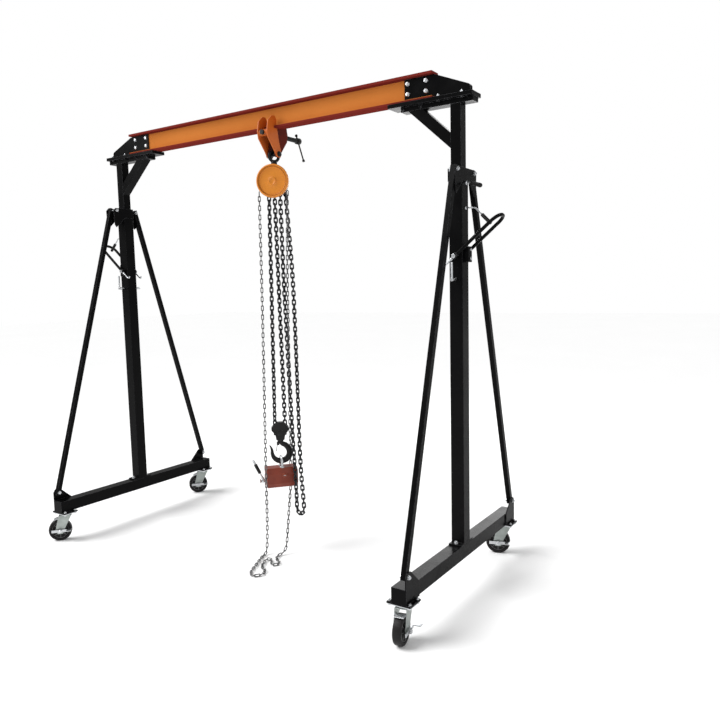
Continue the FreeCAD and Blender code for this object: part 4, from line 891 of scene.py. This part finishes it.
def swivel_steel(corner, axle, axis):
    """A fork's axle nuts, the race and nut of its kingpin, and the brake shoe."""
    side, end = corner.split("_")
    nuts = hexed(0.021, 0.0066, along(axle + axis * 0.038, axis, 12.0))
    nuts += hexed(0.021, 0.0066, along(axle - axis * 0.028, -axis, 40.0))
    nuts.append(threaded(0.011, 0.003, along(axle + axis * 0.0448, axis)))
    beam = middle(side + "_base_beam")
    reach = KINGPIN_REACH if end == "rear" else -KINGPIN_REACH
    kingpin = Matrix.Translation((beam.x, beam.y + reach, 0))
    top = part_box(corner + "_fork")[1].z
    race = [(0.0312, top - 0.0002), (0.0325, top - 0.0012), (0.0332, top - 0.0042), (0.0325, top - 0.0072),
            (0.0312, top - 0.0082), (0.0305, top - 0.0042)]
    nut = [(0.0001, top - 0.024), (0.006, top - 0.0235), (0.009, top - 0.021), (0.0105, top - 0.0172),
           (0.0105, top - 0.0128)]
    nuts += [lathed(race, kingpin, steps=44, ring=True), lathed(nut, kingpin, steps=24)]
    nuts += brake_shoe(upright(axle, TRAILS[corner]))
    built(corner + "_axle_nuts", nuts, ZINC, corner + "_swivel", "zinc")


for corner in TRAILS:
    trail = math.radians(TRAILS[corner])
    axle = middle(corner + "_wheel")
    axis = Vector((-math.sin(trail), math.cos(trail), 0))
    hub(corner, axle, axis)
    swivel_steel(corner, axle, axis)

# ---------------------------------------------------------------- jacks

JACK_Z = 1.575
HANDLE_Z = 1.787
CRANK_Z = 1.8965
LEVER_REACH, LEVER_RISE = 0.205, 0.17
LOOP_HALF, LOOP_TUBE = 0.0455, 0.008
PAD_HALF, PAD_LOW, PAD_HIGH = 0.018, 1.547, 1.617
EYE = [(0.0062, -0.008), (0.0138, -0.008), (0.015, -0.0068), (0.015, 0.0068), (0.0138, 0.008), (0.0062, 0.008)]
TAIL_COLLAR = [(0.006, 0.0), (0.0074, 0.001), (0.0074, 0.009), (0.006, 0.01)]
CRANK_GRIP = [(0.0046, 0.0), (0.008, 0.0005), (0.0096, 0.004), (0.0102, 0.012), (0.0094, 0.024),
              (0.0096, 0.038), (0.0102, 0.046), (0.0092, 0.0525), (0.006, 0.056), (0.0001, 0.057)]


def jack_lever(side, sign):
    """The jack's bent loop handle with its two eyes, and the bright hooked tails below them."""
    body = side + "_jack_handle"
    pivot = Vector((middle(side + "_outer_post").x, ORIGIN_Y, JACK_Z))
    lean = math.atan2(LEVER_REACH, LEVER_RISE)
    way = Vector((sign * math.sin(lean), 0, math.cos(lean)))
    flank = Vector((0, 1, 0))
    curl = Vector((-way.z, 0, way.x)) * sign
    bow = math.hypot(LEVER_REACH, LEVER_RISE) + 0.001 - LOOP_HALF
    line = [pivot + way * s - flank * LOOP_HALF for s in (-0.004, 0.05, 0.12, bow - 0.02)]
    for i in range(25):
        a = math.pi * i / 24
        line.append(pivot + way * (bow + LOOP_HALF * math.sin(a)) - flank * (LOOP_HALF * math.cos(a)))
    line += [pivot + way * s + flank * LOOP_HALF for s in (bow - 0.02, 0.12, 0.05, -0.004)]
    loop, tails = [swept(line, LOOP_TUBE, sides=18)], []
    for y in (-LOOP_HALF, LOOP_HALF):
        base = pivot + flank * y
        loop.append(lathed(EYE, along(base, flank), steps=32))
        keys = [base - way * 0.01, base - way * 0.035, base - way * 0.056, base - way * 0.068 + curl * 0.003,
                base - way * 0.0735 + curl * 0.0105, base - way * 0.068 + curl * 0.017]
        tails.append(swept([Vector(row) for row in flowing(keys, 5)], 0.0042, sides=12))
        tails.append(lathed(TAIL_COLLAR, along(base - way * 0.024, way), steps=18))
    built(side + "_jack_loop", loop, BLACK, body, "frame_black", side + "_jack_lever")
    built(side + "_jack_tails", tails, ZINC, body, "zinc")


def jack_housing(side, sign):
    """The jack's pins, pad and release handle on the post, and on the right leg the crank at its head."""
    body = side + "_leg"
    post_x = middle(side + "_outer_post").x
    face = post_x + sign * POST_HALF
    bright = []
    for out in (-1, 1):
        stub = along(Vector((post_x, ORIGIN_Y + out * POST_HALF, JACK_Z)), (0, out, 0))
        bright.append(lathed([(0.006, 0.0), (0.006, 0.0272)], stub, steps=20))
        nut = along(Vector((post_x, ORIGIN_Y + out * 0.0555, JACK_Z)), (0, out, 0), 25.0)
        bright += hexed(0.0185, 0.0042, nut)
    wire = [(face, HANDLE_Z), (face + sign * 0.02, HANDLE_Z), (face + sign * 0.036, 1.7868),
            (face + sign * 0.05, 1.7825), (face + sign * 0.066, 1.7672), (face + sign * 0.084, 1.7492),
            (face + sign * 0.1, 1.7332)]
    bright.append(swept([(x, ORIGIN_Y, z) for x, z in flowing(wire, 5)], 0.0035, sides=12))
    bright.append(lathed([(0.0075, 0.0), (0.0075, 0.004), (0.006, 0.0055), (0.0035, 0.0055)],
                         along(Vector((face, ORIGIN_Y, HANDLE_Z)), (sign, 0, 0)), steps=20))
    for z in (1.562, 1.602):
        spot = Vector((face + sign * 0.0238, ORIGIN_Y, z))
        bright += hexed(0.0125, 0.0052, along(spot, (sign, 0, 0), 15.0))
    sleeve = [(0.0036, 0.0), (0.0072, 0.0008)]
    for i in range(8):
        sleeve += [(0.0085, 0.003 + i * 0.0072), (0.0085, 0.0066 + i * 0.0072), (0.0076, 0.0076 + i * 0.0072)]
    sleeve += [(0.0062, 0.0612), (0.0001, 0.062)]
    grips = [lathed(sleeve, along(Vector((face + sign * 0.079, ORIGIN_Y, 1.754)), (sign, 0, -1)), steps=24)]
    if side == "right":
        crank = [(face, CRANK_Z), (face + 0.012, 1.8975), (face + 0.022, CRANK_Z), (face + 0.034, 1.893)]
        bright.append(swept([(x, ORIGIN_Y, z) for x, z in flowing(crank, 4)], 0.0045, sides=14))
        bright.append(lathed([(0.009, 0.0), (0.009, 0.008), (0.0075, 0.0095), (0.0045, 0.0095)],
                             along(Vector((face, ORIGIN_Y, CRANK_Z)), (1, 0, 0)), steps=24))
        tip = Vector((face + 0.0265, ORIGIN_Y, 1.8955))
        grips.append(lathed(CRANK_GRIP, along(tip, (1, 0, -0.34)), steps=28))
    built(side + "_jack_pins", bright, ZINC, body, "zinc", side + "_jack_housing")
    inside, outside = sorted((face, face + sign * 0.024))
    block = [boxed((inside, ORIGIN_Y - PAD_HALF, PAD_LOW), (outside, ORIGIN_Y + PAD_HALF, PAD_HIGH))]
    softened(built(side + "_jack_pad", block, BLACK, body, "frame_black"), 0.002)
    built(side + "_jack_grips", grips, GRIP, body, "handle_black")


for side, sign in SIDES:
    jack_lever(side, sign)
    jack_housing(side, sign)

# ---------------------------------------------------------------- stage and light

WORLD_LIGHT, WORLD_SEEN = 0.4, 1.0
SUN_SPOT, SUN_POWER, SUN_ANGLE = (-3.0, -2.2, 5.4), 2.75, 38
AIM = Vector((0, 0, 1.1))
# Name, place, size in metres and power in watts.
PANELS = (("key", (-2.8, -3.0, 3.6), 2.2, 60.0), ("fill", (4.4, -1.6, 2.2), 2.4, 35.0),
          ("back", (0.5, 4.5, 3.8), 3.0, 50.0), ("gloss", (-1.6, 5.6, 2.4), 3.6, 130.0))


def studio_world():
    """A white backdrop that lights the object less than it looks."""
    world = bpy.data.worlds.new("studio")
    world.use_nodes = True
    tree = world.node_tree
    backdrop = tree.nodes["Background"]
    backdrop.inputs["Color"].default_value = (1.0, 1.0, 1.0, 1.0)
    seen = tree.nodes.new("ShaderNodeLightPath")
    share = tree.nodes.new("ShaderNodeMapRange")
    share.inputs["To Min"].default_value = WORLD_LIGHT
    share.inputs["To Max"].default_value = WORLD_SEEN
    tree.links.new(seen.outputs["Is Camera Ray"], share.inputs["Value"])
    tree.links.new(share.outputs["Result"], backdrop.inputs["Strength"])
    bpy.context.scene.world = world


def stage():
    """A pale floor and soft studio light."""
    bpy.ops.mesh.primitive_plane_add(size=60.0, location=(0, 0, -0.0002))
    floor = bpy.context.object
    floor.name = "floor"
    paper = finish("pale_floor", (0.97, 0.97, 0.97), 0.8, second=(0.955, 0.955, 0.955), patch=0.4, speckle=0.0,
                   bump=0.02, grain=60.0)
    floor.data.materials.append(paper)
    studio_world()
    sun = bpy.data.lights.new("sun", "SUN")
    sun.energy = SUN_POWER
    sun.angle = math.radians(SUN_ANGLE)
    lights = [("sun", sun, SUN_SPOT)]
    for name, spot, size, power in PANELS:
        light = bpy.data.lights.new(name, "AREA")
        light.energy = power
        light.size = size
        lights.append((name, light, spot))
    for name, light, spot in lights:
        thing = bpy.data.objects.new(name, light)
        bpy.context.scene.collection.objects.link(thing)
        thing.location = spot
        thing.visible_camera = False
        thing.visible_diffuse = name != "gloss"
        thing.rotation_mode = "QUATERNION"
        thing.rotation_quaternion = (AIM - Vector(spot)).to_track_quat("-Z", "Y")


stage()
bpy.context.scene.view_settings.view_transform = "Standard"
